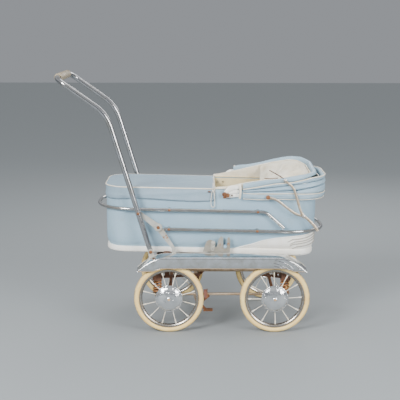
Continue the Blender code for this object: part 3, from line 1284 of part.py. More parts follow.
def main():
    for old in list(bpy.data.objects):
        bpy.data.objects.remove(old)

    cream_rubber = colour_material("cream_rubber", (0.83, 0.65, 0.36), 0.75)
    chrome = colour_material("aged_chrome", (0.62, 0.62, 0.62), 0.25, 1.0)
    rusty = colour_material("rusty_steel", (0.36, 0.16, 0.06), 0.8, 0.4)
    painted = colour_material("grey_paint", (0.62, 0.61, 0.56), 0.5)
    white = colour_material("white_panel", (0.82, 0.80, 0.74), 0.4)
    blue = colour_material("blue_vinyl", (0.40, 0.51, 0.60), 0.55)
    beige = colour_material("beige_lining", (0.68, 0.60, 0.43), 0.9)
    grip_cream = colour_material("cream_grip", (0.78, 0.72, 0.55), 0.45)
    pad_red = colour_material("red_rubber", (0.25, 0.09, 0.06), 0.8)
    cord_white = colour_material("white_cord", (0.80, 0.78, 0.70), 0.9)

    parts = Assembly()
    parts.frame("undercarriage", (0.0, 0.0, 0.0))
    parts.frame("chassis", (0.0, 0.0, SPRING_TOP_Z), "undercarriage")
    parts.frame("handle", (PIVOT_X, 0.0, PIVOT_Z - SPRING_TOP_Z), "chassis")

    for end in (-1, 1):
        x = end * WHEEL_X
        parts.put(make_axle("axle_" + end_name(end), x), "undercarriage", rusty)
        for side in (-1, 1):
            label = end_name(end) + "_" + side_name(side)
            parts.frame("wheel_" + label, (x, side * TRACK_HALF, WHEEL_RADIUS), "undercarriage")
            turn = math.radians(15.0 if end < 0 else 2.0)
            parts.put(make_tyre("tyre_" + label, x, side), "wheel_" + label, cream_rubber)
            parts.put(make_spoked_wheel("wheel_" + label, x, side, turn), "wheel_" + label, chrome)
            parts.put(make_hub_cap("hub_cap_" + label, x, side), "wheel_" + label, chrome)
            spring_x = SPRING_FOOT_X if end < 0 else SPRING_HEAD_X
            spring = make_spring("spring_" + label, spring_x, side * SIDE_BAR_HALF)
            parts.put(spring, "undercarriage", rusty)
    print_spring_gap()

    parts.frame("brake", (BRAKE_PIVOT[0], 0.0, BRAKE_PIVOT[1]), "undercarriage")
    parts.put(make_brake("brake_lever"), "brake", rusty)
    parts.put(make_yoke("yoke_foot", SPRING_FOOT_X, YOKE_FOOT_REACH, REST_FOOT_X), "chassis", rusty)
    parts.put(make_yoke("yoke_head", SPRING_HEAD_X, YOKE_HEAD_REACH, REST_HEAD_X), "chassis", rusty)
    parts.put(make_handle("handle_tube"), "handle", chrome)
    parts.put(make_grip("handle_grip"), "handle", grip_cream)

    cot_place = (COT_FRAME_X, 0.0, COT_FRAME_Z - SPRING_TOP_Z)
    parts.frame("cot", cot_place, "chassis")
    parts.frames["cot"].rotation_euler = (0.0, COT_TILT, 0.0)
    bpy.context.view_layer.update()
    hinge = (HOOD_PIVOT[0], 0.0, HOOD_PIVOT[1])
    for bow in ("hood_rear", "hood_mid", "hood_front"):
        parts.frame(bow, hinge, "cot")

    for side in (-1, 1):
        label = side_name(side)
        parts.put(make_side_bar("side_bar_" + label, side), "undercarriage", rusty)
        parts.put(make_hood_hinge("hood_hinge_" + label, side), "cot", rusty, "cot")
        parts.put(make_brake_pad("brake_pad_" + label, side), "brake", pad_red)
        fender = make_fender("fender_" + label, side)
        join_shapes(fender, make_strut_bracket(side))
        parts.put(fender, "chassis", chrome)
        parts.put(make_handle_bracket("handle_bracket_" + label, side), "chassis", painted)
        parts.put(make_latch_plate("latch_plate_" + label, side), "chassis", painted)
        pivot = (LATCH_KNOB[0] - 0.002, 0.0, LATCH_BASE_Z + 0.009 - SPRING_TOP_Z)
        parts.frame("latch_" + label, pivot, "chassis")
        parts.put(make_latch_lever("latch_lever_" + label, side), "latch_" + label, painted)
        rivet = (RIVET_UPPER[0] - PIVOT_X, 0.0, RIVET_UPPER[1] - PIVOT_Z)
        parts.frame("strut_upper_" + label, rivet, "handle")
        parts.put(make_strut_upper("strut_upper_" + label, side), "strut_upper_" + label, painted)
        parts.frame("strut_lower_" + label, (STRUT_FOOT[0], 0.0, STRUT_FOOT[1] - SPRING_TOP_Z), "chassis")
        parts.put(make_strut_lower("strut_lower_" + label, side), "strut_lower_" + label, painted)
        parts.frame("brace_lower_" + label, (BRACE_FOOT[0], 0.0, BRACE_FOOT[1]), "cot")
        parts.put(make_brace_lower("brace_lower_" + label, side), "brace_lower_" + label, chrome, "cot")
        joint = (BRACE_JOINT[0] - BRACE_FOOT[0], 0.0, BRACE_JOINT[1] - BRACE_FOOT[1])
        parts.frame("brace_upper_" + label, joint, "brace_lower_" + label)
        parts.put(make_brace_upper("brace_upper_" + label, side), "brace_upper_" + label, chrome, "cot")

    parts.put(make_cot_shell("cot_shell"), "cot", blue, "cot")
    parts.put(make_cot_tray("cot_tray"), "cot", white, "cot")
    parts.put(make_lining("cot_lining"), "cot", beige, "cot")
    parts.put(make_upper_rail("upper_rail"), "cot", chrome, "cot")
    parts.put(make_lower_rail("lower_rail"), "cot", chrome, "cot")
    parts.put(make_apron("apron"), "cot", blue, "cot")
    parts.put(make_cord_loop("cord_loop"), "cot", cord_white, "cot")

    bows = (("hood_rear", BOW_REAR_ANGLE), ("hood_mid", BOW_MID_ANGLE), ("hood_front", BOW_FRONT_ANGLE))
    for layer, (body, angle) in enumerate(bows):
        bow = make_bow(body + "_bow", angle, layer)
        if body == "hood_front":
            for side in (-1, 1):
                add_brace_stud(bow, side)
        parts.put(bow, body, chrome, "cot")
    parts.put(make_hood_valance("hood_valance"), "cot", blue, "cot")
    parts.put(make_hood_cloth("hood_cloth_rear", BOW_REAR_ANGLE, BOW_MID_ANGLE), "hood_rear", blue, "cot")
    parts.put(make_hood_cloth("hood_cloth_mid", BOW_MID_ANGLE, BOW_FRONT_ANGLE), "hood_mid", blue, "cot")
    parts.put(make_hood_top("hood_cloth_front"), "hood_front", blue, "cot")
    parts.put(make_hood_lining("hood_lining"), "hood_front", beige, "cot")
    parts.frames["undercarriage"].location.x = ORIGIN_SHIFT


main()
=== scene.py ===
# %% [markdown]
# # A vintage pram, dressed for the studio
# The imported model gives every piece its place. This lesson adds what the eye sees: smooth
# chrome, spoked wheels, folded cloth and the marks of age. Each cell shows one piece.

# %% Load the frame
import math

import bmesh
import bpy
from mathutils import Matrix, Vector, noise


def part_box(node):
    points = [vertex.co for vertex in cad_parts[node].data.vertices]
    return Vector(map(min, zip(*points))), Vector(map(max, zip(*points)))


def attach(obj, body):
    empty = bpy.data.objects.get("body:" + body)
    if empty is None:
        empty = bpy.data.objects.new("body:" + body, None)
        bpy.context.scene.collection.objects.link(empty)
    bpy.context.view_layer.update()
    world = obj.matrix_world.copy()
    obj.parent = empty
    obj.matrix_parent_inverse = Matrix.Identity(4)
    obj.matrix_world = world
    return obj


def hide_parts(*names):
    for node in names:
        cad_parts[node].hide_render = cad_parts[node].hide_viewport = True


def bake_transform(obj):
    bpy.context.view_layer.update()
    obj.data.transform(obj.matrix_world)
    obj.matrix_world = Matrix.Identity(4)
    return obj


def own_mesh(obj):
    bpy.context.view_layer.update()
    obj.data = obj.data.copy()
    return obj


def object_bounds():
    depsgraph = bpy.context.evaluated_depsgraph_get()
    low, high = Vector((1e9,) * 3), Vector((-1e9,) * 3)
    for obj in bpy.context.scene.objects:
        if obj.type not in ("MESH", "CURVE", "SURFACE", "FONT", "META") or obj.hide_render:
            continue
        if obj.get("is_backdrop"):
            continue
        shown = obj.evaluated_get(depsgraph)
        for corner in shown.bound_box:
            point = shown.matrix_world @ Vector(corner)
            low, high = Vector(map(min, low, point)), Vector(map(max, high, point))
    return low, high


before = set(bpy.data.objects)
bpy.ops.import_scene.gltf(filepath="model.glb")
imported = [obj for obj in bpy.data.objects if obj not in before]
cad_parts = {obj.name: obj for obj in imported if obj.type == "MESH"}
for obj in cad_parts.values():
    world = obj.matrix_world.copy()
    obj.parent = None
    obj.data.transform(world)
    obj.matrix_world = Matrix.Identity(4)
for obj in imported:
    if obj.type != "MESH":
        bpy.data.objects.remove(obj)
cad_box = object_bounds()
MIDDLE = 0.11
WHEELBASE_HALF, WHEEL_RADIUS = 0.192, 0.127
TILT = math.radians(1.2)
COT_BACK, COT_BOTTOM = 0.034, 0.28

# %% [markdown]
# ## Places
# The wheels stand evenly about a line 110 mm from the origin. The cot is set on the frame with
# its head end a little lower, so its pieces are drawn level and then turned by one small angle.

# %% Two rulers
def here(x, y, z):
    """A place measured from the middle between the wheels."""
    return Vector((x + MIDDLE, y, z))


def cot(x, y, z):
    """A place measured on the cot, from the middle of its flat bottom."""
    return Vector((MIDDLE - COT_BACK + x * math.cos(TILT) + z * math.sin(TILT), y,
                   COT_BOTTOM - x * math.sin(TILT) + z * math.cos(TILT)))


print("cot rim at", [round(v, 4) for v in cot(0.0, 0.0, 0.235)])

# %% [markdown]
# ## Building tools
# Three ways of shaping cover nearly every piece here. A closed profile is spun round an axis
# for wheels and caps. A flat grid is laid over rows of points for pressed skins and cloth.
# A ring is carried along a path for tubes. Each ends in the same finishing step, which merges
# doubles, turns the faces outwards and ties the piece to its moving body.

# %% Finish a piece
def linked(name, data):
    """Makes an object of a mesh, a lamp or a camera, and puts it in the scene."""
    made = bpy.data.objects.new(name, data)
    bpy.context.scene.collection.objects.link(made)
    return made


def finished(name, shape, body, material, stands_for=(), crease=40.0, turn_out=True):
    """Turns a bmesh into a piece that rides on a body."""
    bmesh.ops.remove_doubles(shape, verts=shape.verts[:], dist=0.00001)
    if turn_out:
        bmesh.ops.recalc_face_normals(shape, faces=shape.faces[:])
    mesh = bpy.data.meshes.new(name)
    shape.to_mesh(mesh)
    shape.free()
    mesh.shade_smooth()
    mesh.set_sharp_from_angle(angle=math.radians(crease))
    mesh.materials.append(material)
    piece = linked(name, mesh)
    if body:
        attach(piece, body)
    if stands_for:
        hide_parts(*stands_for)
    return piece


def add_bevel(piece, width):
    """Rounds every sharp edge a little."""
    bevel = piece.modifiers.new("soft_edges", "BEVEL")
    bevel.width = width
    bevel.segments = 2
    bevel.limit_method = "ANGLE"
    bevel.angle_limit = math.radians(40.0)
    bevel.harden_normals = False


def thicken(piece, label, thickness, offset):
    """Gives a sheet its thickness, on the side that the offset names."""
    wall = piece.modifiers.new(label, "SOLIDIFY")
    wall.thickness = thickness
    wall.offset = offset


# %% Spin, lay and carry
def spun(shape, profile, centre, axis=(0.0, 1.0, 0.0), steps=64, side=1.0):
    """Spins a closed profile of (radius, distance along the axis) points about an axis through the centre."""
    axis = Vector(axis)
    across = Vector((1.0, 0.0, 0.0)) if abs(axis.x) < 0.5 else Vector((0.0, 0.0, 1.0))
    corners = [shape.verts.new(Vector(centre) + across * radius + axis * (side * along))
               for radius, along in profile]
    edges = [shape.edges.new((a, b)) for a, b in zip(corners, corners[1:] + corners[:1])]
    bmesh.ops.spin(shape, geom=corners + edges, cent=centre, axis=axis, angle=2 * math.pi, steps=steps,
                   use_merge=True, use_duplicate=False)
    return shape


def block(shape, centre, size):
    """Adds a box."""
    bmesh.ops.create_cube(shape, size=1.0, matrix=Matrix.Translation(centre) @ Matrix.Diagonal((*size, 1.0)))
    return shape


def laid(shape, rows, joined=True, capped=False):
    """Lays a flat grid over rows of points. joined closes each row into a ring."""
    along = len(rows)
    across = len(rows[0])
    cells = across if joined else across - 1
    made = bmesh.ops.create_grid(shape, x_segments=cells, y_segments=along - 1, size=1.0)["verts"]
    for vert in made:
        i = round((vert.co.x + 1.0) / 2.0 * cells)
        j = round((vert.co.y + 1.0) / 2.0 * (along - 1))
        vert.co = rows[j][i % across]
    if joined:
        bmesh.ops.remove_doubles(shape, verts=made, dist=0.000001)
    if capped:
        rims = [edge for edge in shape.edges if edge.is_boundary]
        bmesh.ops.holes_fill(shape, edges=rims, sides=0)
    return shape


def smooth_line(points, steps):
    """A smooth curve through a few points."""
    points = [Vector(p) for p in points]
    line = []
    for a, b, c, d in zip(points[:1] + points, points, points[1:], points[2:] + points[-1:]):
        for k in range(steps):
            t = k / steps
            line.append(0.5 * (2 * b + (c - a) * t + (2 * a - 5 * b + 4 * c - d) * t * t
                               + (3 * b - a - 3 * c + d) * t ** 3))
    return line + [points[-1]]


ACROSS = (0.0, 1.0, 0.0)


def carried(shape, path, radius, sides=16, flat=1.0, flat_along=None):
    """Carries a ring along a path. radius may be one size or one for each point. A flat below 1
    presses the ring into an oval, thin along flat_along."""
    points = [Vector(p) for p in path]
    rows = []
    normal = Vector(flat_along).normalized() if flat_along else None
    for i, point in enumerate(points):
        along = (points[min(i + 1, len(points) - 1)] - points[max(i - 1, 0)]).normalized()
        if normal is None:
            normal = along.orthogonal().normalized()
        normal = (normal - along * normal.dot(along)).normalized()
        across = along.cross(normal)
        size = radius[i] if isinstance(radius, (list, tuple)) else radius
        turns = [2 * math.pi * k / sides for k in range(sides)]
        rows.append([point + size * (flat * math.cos(a) * normal + math.sin(a) * across) for a in turns])
    return laid(shape, rows, capped=True)


def rounded(points, radii):
    """A path whose inner corners are drawn as arcs of the given radii."""
    steps = 16
    corners = [Vector(p) for p in points]
    path = [corners[0]]
    for before, corner, after, radius in zip(corners, corners[1:], corners[2:], radii):
        back, on = (before - corner).normalized(), (after - corner).normalized()
        half = back.angle(on) / 2
        centre = corner + (back + on).normalized() * (radius / math.sin(half))
        first = (corner + back * radius / math.tan(half) - centre).normalized()
        last = (corner + on * radius / math.tan(half) - centre).normalized()
        path += [centre + radius * first.slerp(last, k / steps) for k in range(steps + 1)]
    path.append(corners[-1])
    return path


def arc(centre, radius, start, end, steps):
    """Points of an arc as (along, up) pairs."""
    return [(centre[0] + radius * math.cos(start + (end - start) * k / steps),
             centre[1] + radius * math.sin(start + (end - start) * k / steps)) for k in range(steps + 1)]


def swell(x, y, z):
    """Smooth noise about zero at a place, for folds and wrinkles."""
    return noise.noise(Vector((x, y, z)))


def rod(name, path, radius, body, material, slot, stands_for=(), **form):
    """A piece that is one tube along a path."""
    return finished(name, carried(bmesh.new(), path, radius, **form), body, material, stands_for)


def turned(name, profile, centre, body, material, slot, stands_for=(), crease=40.0, **form):
    """A piece that is one profile spun about an axis."""
    shape = spun(bmesh.new(), profile, centre, **form)
    return finished(name, shape, body, material, stands_for, crease)


def skinned(name, rows, body, material, slot, stands_for=(), turn_out=True, **form):
    """A piece that is one grid over rows of points."""
    shape = laid(bmesh.new(), rows, **form)
    return finished(name, shape, body, material, stands_for, turn_out=turn_out)


print("tools ready")

# %% [markdown]
# ## Finishes
# A finish is a small net of nodes. Noise gives cloudiness, a ramp turns it into colour, and a
# bump lifts it. Patterns are read from object coordinates, so they sit still on each piece.
# A short class keeps the wiring readable: each call adds one node and gives back its output.

# %% A net of shader nodes
class Net:
    """A net of shader nodes. Each call adds one node and gives back one of its outputs."""

    def __init__(self, tree):
        self.nodes = tree.nodes
        self.links = tree.links
        self.coordinates = tree.nodes.new("ShaderNodeTexCoord").outputs
        self.place = self.coordinates["Object"]

    def plug(self, node, socket, value):
        """Feeds a socket with another node's output or with a fixed value."""
        if isinstance(value, bpy.types.NodeSocket):
            self.links.new(value, node.inputs[socket])
        elif value is not None:
            node.inputs[socket].default_value = value

    def node(self, kind, output, inputs, **settings):
        """Adds a node, with its settings and its inputs, and gives back one output."""
        made = self.nodes.new("ShaderNode" + kind)
        for name, value in settings.items():
            setattr(made, name, value)
        for socket, value in inputs.items():
            self.plug(made, socket, value)
        return made.outputs[output]

    def scaled(self, scale=(1.0, 1.0, 1.0), turn=0.0):
        sockets = {"Vector": self.place, "Scale": scale, "Rotation": (0.0, 0.0, turn)}
        return self.node("Mapping", "Vector", sockets)

    def cloud(self, scale, detail=4.0, roughness=0.55, distortion=0.0, vector=None):
        return self.node("TexNoise", "Fac", {"Vector": vector or self.place, "Scale": scale, "Detail": detail,
                                             "Roughness": roughness, "Distortion": distortion})

    def cells(self, scale):
        return self.node("TexVoronoi", "Distance", {"Vector": self.place, "Scale": scale}, feature="F1")

    def stripes(self, scale, direction, vector, distortion):
        return self.node("TexWave", "Fac", {"Vector": vector, "Scale": scale, "Distortion": distortion},
                         bands_direction=direction)

    def ramp(self, value, *stops):
        colour = self.node("ValToRGB", "Color", {"Fac": value})
        marks = colour.node.color_ramp.elements
        while len(marks) < len(stops):
            marks.new(0.5)
        for mark, (at, tone) in zip(marks, stops):
            mark.position = at
            mark.color = (*tone, 1.0)
        return colour

    def window(self, value, low, high, bottom=0.0, top=1.0):
        """Clear below low and full above high, with a smooth slope between."""
        return self.node("MapRange", "Result", {"Value": value, "From Min": low, "From Max": high,
                                                "To Min": bottom, "To Max": top},
                         interpolation_type="SMOOTHSTEP")

    def math(self, operation, first, second=None):
        return self.node("Math", "Value", {0: first, 1: second}, operation=operation)

    def plus(self, first, second):
        return self.math("ADD", first, second)

    def minus(self, first, second):
        return self.math("SUBTRACT", first, second)

    def times(self, first, second):
        return self.math("MULTIPLY", first, second)

    def mix(self, share, first, second):
        first, second = ((*tone, 1.0) if isinstance(tone, tuple) else tone for tone in (first, second))
        return self.node("Mix", 2, {0: share, 6: first, 7: second}, data_type="RGBA")

    def bump(self, height, strength, distance, under=None):
        return self.node("Bump", "Normal", {"Height": height, "Strength": strength, "Distance": distance,
                                            "Normal": under})

    def axes(self, place):
        return self.node("SeparateXYZ", "X", {"Vector": place}).node.outputs

    def rust(self, amount, grain):
        """The shared rust group, with all its outputs."""
        return self.node("Group", "Mask", {"Amount": amount, "Grain": grain}, node_tree=RUST).node.outputs


class Finish(Net):
    """The net of one material, wired into its surface."""

    def __init__(self, name, colour, roughness, metallic=0.0):
        self.material = bpy.data.materials.new(name)
        self.material.use_nodes = True
        super().__init__(self.material.node_tree)
        self.shader = self.nodes["Principled BSDF"]
        self.feed("Base Color", (*colour, 1.0))
        self.feed("Roughness", roughness)
        self.feed("Metallic", metallic)

    def feed(self, socket, value):
        self.plug(self.shader, socket, value)


print("nets ready")

# %% [markdown]
# ## Rust
# Rust starts as pinholes and joins into blotches. One shared group makes it for every metal
# here: a broad cloud says where the damp sat, a fine one breaks it into spots, and the colour
# runs from dark brown in the deep places to orange at the thin edges.

# %% Rust group
def make_rust_group():
    tree = bpy.data.node_groups.new("rust", "ShaderNodeTree")
    for name, start in (("Amount", 0.5), ("Grain", 1.0)):
        tree.interface.new_socket(name, in_out="INPUT", socket_type="NodeSocketFloat").default_value = start
    for name, kind in (("Mask", "Float"), ("Colour", "Color"), ("Height", "Float")):
        tree.interface.new_socket(name, in_out="OUTPUT", socket_type="NodeSocket" + kind)
    net = Net(tree)
    entry, leave = tree.nodes.new("NodeGroupInput").outputs, tree.nodes.new("NodeGroupOutput")
    clouds = []
    for scale, detail in ((22.0, 5.0), (150.0, 6.0), (420.0, 3.0)):
        place = net.node("VectorMath", 0, {0: net.place, "Scale": entry["Grain"]}, operation="SCALE")
        clouds.append(net.cloud(scale, detail, 0.62, vector=place))
    broad, fine, finest = clouds
    blend = net.plus(net.times(broad, 0.55), net.times(fine, 0.45))
    reach = net.minus(0.78, net.times(entry["Amount"], 0.5))
    net.plug(leave, "Mask", net.window(blend, reach, net.plus(reach, 0.06)))
    net.plug(leave, "Colour", net.ramp(fine, (0.3, (0.06, 0.022, 0.01)), (0.5, (0.2, 0.075, 0.026)),
                                       (0.72, (0.42, 0.17, 0.055))))
    net.plug(leave, "Height", net.plus(fine, net.times(finest, 0.5)))
    return tree


RUST = make_rust_group()
print("rust group sockets:", len(RUST.interface.items_tree))


# %% Metals
def aged_metal(name, colour, amount, roughness=0.22, grain=1.0, dull=None, dents=0.0):
    """Bright plating with a cloudy bloom and rust coming through."""
    finish = Finish(name, colour, roughness, 1.0)
    rust = finish.rust(amount, grain)
    bloom = finish.cloud(35.0 * grain, 5.0, 0.6)
    plate = finish.ramp(bloom, (0.35, colour), (0.7, dull or tuple(0.8 * c for c in colour)))
    finish.feed("Base Color", finish.mix(rust["Mask"], plate, rust["Colour"]))
    finish.feed("Metallic", finish.window(rust["Mask"], 0.0, 1.0, 1.0, 0.05))
    sheen = finish.window(bloom, 0.4, 0.8, roughness, roughness + 0.16)
    finish.feed("Roughness", finish.math("MAXIMUM", sheen, finish.window(rust["Mask"], 0.0, 1.0, 0.0, 0.85)))
    dented = finish.bump(finish.cloud(48.0, 3.0, 0.6, 0.6), dents, 0.004) if dents else None
    finish.feed("Normal", finish.bump(finish.times(rust["Mask"], rust["Height"]), 0.55, 0.0006, dented))
    return finish.material


def chipped_paint(name, colour, worn, amount, grain=1.0):
    """Old enamel, stained and chipped through to rust."""
    finish = Finish(name, colour, 0.42)
    rust = finish.rust(amount, grain)
    paint = finish.ramp(finish.cloud(28.0 * grain, 6.0, 0.6), (0.34, colour), (0.72, worn))
    finish.feed("Base Color", finish.mix(rust["Mask"], paint, rust["Colour"]))
    finish.feed("Roughness", finish.window(rust["Mask"], 0.0, 1.0, 0.42, 0.88))
    film = finish.minus(finish.times(finish.cloud(260.0, 2.0), 0.1), rust["Mask"])
    finish.feed("Normal", finish.bump(film, 0.45, 0.0004))
    return finish.material


def rusted(name, light, dark, roughness=0.85, bare=0.0):
    """Metal rusted all over, darker in its hollows, with a little old plating left."""
    finish = Finish(name, light, roughness)
    broad, fine = finish.cloud(40.0, 6.0, 0.65), finish.cloud(320.0, 5.0, 0.6)
    shade = finish.plus(finish.times(broad, 0.6), finish.times(fine, 0.4))
    between = tuple((a + b) / 2 for a, b in zip(light, dark))
    coat = finish.ramp(shade, (0.36, dark), (0.5, between), (0.66, light))
    if bare:
        left = finish.window(finish.cloud(90.0, 5.0, 0.7), 0.7 - bare, 0.76 - bare)
        coat = finish.mix(left, coat, (0.52, 0.48, 0.42))
        finish.feed("Metallic", finish.window(left, 0.0, 1.0, 0.0, 0.8))
        finish.feed("Roughness", finish.window(left, 0.0, 1.0, roughness, 0.38))
    finish.feed("Base Color", coat)
    finish.feed("Normal", finish.bump(finish.plus(broad, finish.times(fine, 0.6)), 0.6, 0.0009))
    return finish.material


CHROME = aged_metal("aged_chrome", (0.52, 0.53, 0.54), 0.26, 0.12, dull=(0.43, 0.4, 0.35))
TUBE_CHROME = aged_metal("tube_chrome", (0.46, 0.465, 0.49), 0.24, 0.12, dull=(0.37, 0.36, 0.34))
RIM_CHROME = aged_metal("rim_chrome", (0.44, 0.42, 0.39), 0.4, 0.22, dull=(0.33, 0.28, 0.22))
ROD_COPPER = aged_metal("rod_copper", (0.74, 0.58, 0.42), 0.3, 0.34, 1.4, (0.52, 0.35, 0.21))
FENDER_CHROME = aged_metal("fender_chrome", (0.72, 0.74, 0.77), 0.18, 0.13, dull=(0.52, 0.52, 0.49))
CAP_CHROME = aged_metal("cap_chrome", (0.86, 0.87, 0.88), 0.19, 0.05, dents=0.9)
BRIGHT_STEEL = aged_metal("bright_steel", (0.6, 0.56, 0.5), 0.3, 0.3)
RUSTY_STEEL = rusted("rusty_steel", (0.34, 0.145, 0.06), (0.07, 0.028, 0.014))
RUSTY_BROWN = rusted("rusty_brown", (0.2, 0.085, 0.045), (0.045, 0.02, 0.012))
SPRING_RUST = rusted("spring_rust", (0.6, 0.27, 0.095), (0.2, 0.075, 0.028), 0.7, bare=0.1)
GREY_PAINT = chipped_paint("grey_paint", (0.47, 0.475, 0.445), (0.33, 0.31, 0.25), 0.38)
SPOKE_PAINT = chipped_paint("spoke_paint", (0.92, 0.89, 0.8), (0.74, 0.64, 0.46), 0.24, grain=1.6)
LATCH_PAINT = chipped_paint("latch_paint", (0.34, 0.34, 0.31), (0.24, 0.21, 0.16), 0.46)
print("metals ready")

# %% [markdown]
# ## Rubber, plastic and cloth
# The tyres are cream rubber that has yellowed, with grime where they roll. The cot is covered
# in coated cloth: a fine leather grain pressed into a dull blue skin that has faded in patches.
# The trims are cream, and greyer where hands reach. The ribs on the white panel are grey as a painted shadow.

# %% Tyre rubber
def tyre_rubber():
    """Cream rubber that is darker round its tread and where it sits in the rim."""
    finish = Finish("tyre_rubber", (0.82, 0.63, 0.35), 0.72)
    axes = finish.axes(finish.place)
    along = finish.minus(finish.math("ABSOLUTE", finish.minus(axes["X"], MIDDLE)), WHEELBASE_HALF)
    high = finish.minus(axes["Z"], WHEEL_RADIUS)
    radius = finish.math("SQRT", finish.plus(finish.times(along, along), finish.times(high, high)))
    body = finish.ramp(finish.cloud(14.0, 6.0, 0.6), (0.32, (1.0, 0.78, 0.34)), (0.7, (0.96, 0.64, 0.22)))
    patches = finish.window(finish.cloud(75.0, 6.0, 0.7), 0.36, 0.66)
    grime = finish.times(finish.window(radius, 0.1215, 0.1268), patches)
    seat = finish.window(radius, 0.1115, 0.108)
    body = finish.mix(grime, body, (0.3, 0.2, 0.115))
    body = finish.mix(finish.times(seat, 0.7), body, (0.27, 0.155, 0.075))
    specks = finish.window(finish.cells(210.0), 0.14, 0.07)
    finish.feed("Base Color", finish.mix(finish.times(specks, 0.35), body, (0.32, 0.2, 0.1)))
    finish.feed("Normal", finish.bump(finish.cloud(240.0, 5.0, 0.6), 0.25, 0.0006))
    return finish.material


# %% Coated cloth and woven cloth
def coated_cloth(name, colour, faded, grime=0.35, grain=900.0, creases=0.25):
    """Leather-grained coated cloth, faded in clouds, with dust in its grain."""
    finish = Finish(name, colour, 0.55)
    finish.feed("Coat Weight", 0.06)
    cloud = finish.cloud(7.0, 5.0, 0.6)
    body = finish.ramp(cloud, (0.3, colour), (0.72, faded))
    dirt = finish.window(finish.cloud(19.0, 7.0, 0.72, 0.4), 0.56, 0.8)
    body = finish.mix(finish.times(dirt, grime), body, (0.3, 0.27, 0.2))
    fleck = finish.window(finish.cloud(160.0, 4.0, 0.7), 0.6, 0.72)
    finish.feed("Base Color", finish.mix(finish.times(fleck, 0.22), body, (0.62, 0.66, 0.67)))
    finish.feed("Roughness", finish.window(cloud, 0.3, 0.7, 0.46, 0.64))
    grain_bump = finish.bump(finish.cells(grain), 0.3, 0.00035)
    finish.feed("Normal", finish.bump(finish.cloud(26.0, 3.0, 0.5, 0.8), creases, 0.004, grain_bump))
    return finish.material


def woven_cloth(name, colour, shade, weave=2600.0, grime=0.5):
    """Plain cotton: two sets of threads that cross, stained in places."""
    finish = Finish(name, colour, 0.92)
    finish.feed("Sheen Weight", 0.15)
    turned = finish.scaled(turn=0.5)
    threads = finish.plus(*(finish.stripes(weave / 6.28, direction, turned, 0.4) for direction in "XZ"))
    body = finish.ramp(finish.cloud(11.0, 6.0, 0.62), (0.3, colour), (0.74, shade))
    stain = finish.window(finish.cloud(33.0, 6.0, 0.7, 0.6), 0.58, 0.8)
    finish.feed("Base Color", finish.mix(finish.times(stain, grime), body, (0.36, 0.24, 0.12)))
    weave_bump = finish.bump(threads, 0.2, 0.0003)
    finish.feed("Normal", finish.bump(finish.cloud(55.0, 4.0, 0.55, 0.5), 0.35, 0.003, weave_bump))
    return finish.material


def moulded(name, colour, yellowed, roughness=0.38, rust=0.12):
    """Old moulded plastic, yellowed, with stains that run down it."""
    finish = Finish(name, colour, roughness)
    runs = finish.cloud(30.0, 6.0, 0.65, 0.3, finish.scaled((1.0, 1.0, 0.22)))
    body = finish.ramp(runs, (0.34, colour), (0.74, yellowed))
    spots = finish.rust(rust, 1.2)
    finish.feed("Base Color", finish.mix(finish.times(spots["Mask"], 0.4), body, spots["Colour"]))
    finish.feed("Roughness", finish.window(runs, 0.3, 0.7, roughness, roughness + 0.2))
    finish.feed("Normal", finish.bump(finish.cloud(300.0, 3.0), 0.1, 0.0003))
    return finish.material


TYRE = tyre_rubber()
BLUE_SKIN = coated_cloth("blue_skin", (0.28, 0.42, 0.53), (0.35, 0.495, 0.59))
BLUE_CLOTH = coated_cloth("blue_cloth", (0.24, 0.345, 0.43), (0.295, 0.395, 0.47), 0.4, 760.0, 0.45)
HOOD_CLOTH = coated_cloth("hood_cloth", (0.3, 0.435, 0.535), (0.375, 0.505, 0.59), 0.3, 760.0, 0.55)
LINING = woven_cloth("beige_lining", (0.82, 0.71, 0.44), (0.66, 0.53, 0.29))
HOOD_LINING = woven_cloth("cream_lining", (0.9, 0.86, 0.74), (0.7, 0.6, 0.42), grime=0.4)
PIPING = moulded("cream_piping", (0.92, 0.89, 0.79), (0.78, 0.66, 0.46), 0.45, 0.14)
WHITE_PANEL = moulded("white_panel", (0.99, 0.985, 0.945), (0.9, 0.865, 0.76), 0.3, 0.13)
# A flat grey for the white panel's ribs: a painted shadow along each rib.
RIB_SHADE = moulded("rib_shade", (0.46, 0.45, 0.42), (0.36, 0.32, 0.26), 0.45, 0.1)
GRIP = moulded("grip_plastic", (0.38, 0.32, 0.22), (0.24, 0.18, 0.11), 0.42, 0.2)
CORD = woven_cloth("white_cord", (0.9, 0.88, 0.8), (0.62, 0.58, 0.48), 5200.0, 0.2)
BRAKE_RUBBER = moulded("brown_rubber", (0.2, 0.075, 0.05), (0.11, 0.05, 0.036), 0.75, 0.2)
PEDAL = moulded("tan_pedal", (0.4, 0.27, 0.15), (0.22, 0.13, 0.07), 0.7, 0.25)
BRACE_METAL = aged_metal("brace_metal", (0.72, 0.62, 0.5), 0.34, 0.4, 1.6, (0.5, 0.38, 0.26))
TAN_RIVET = moulded("tan_rivet", (0.66, 0.44, 0.24), (0.4, 0.22, 0.1), 0.5, 0.3)
print("soft finishes ready")

# %% [markdown]
# ## Camera, floor and light
# The photo was taken from a few metres away with a long lens, a little above the handle's
# height. Large soft lights keep the chrome calm, and a smaller one draws its edges.

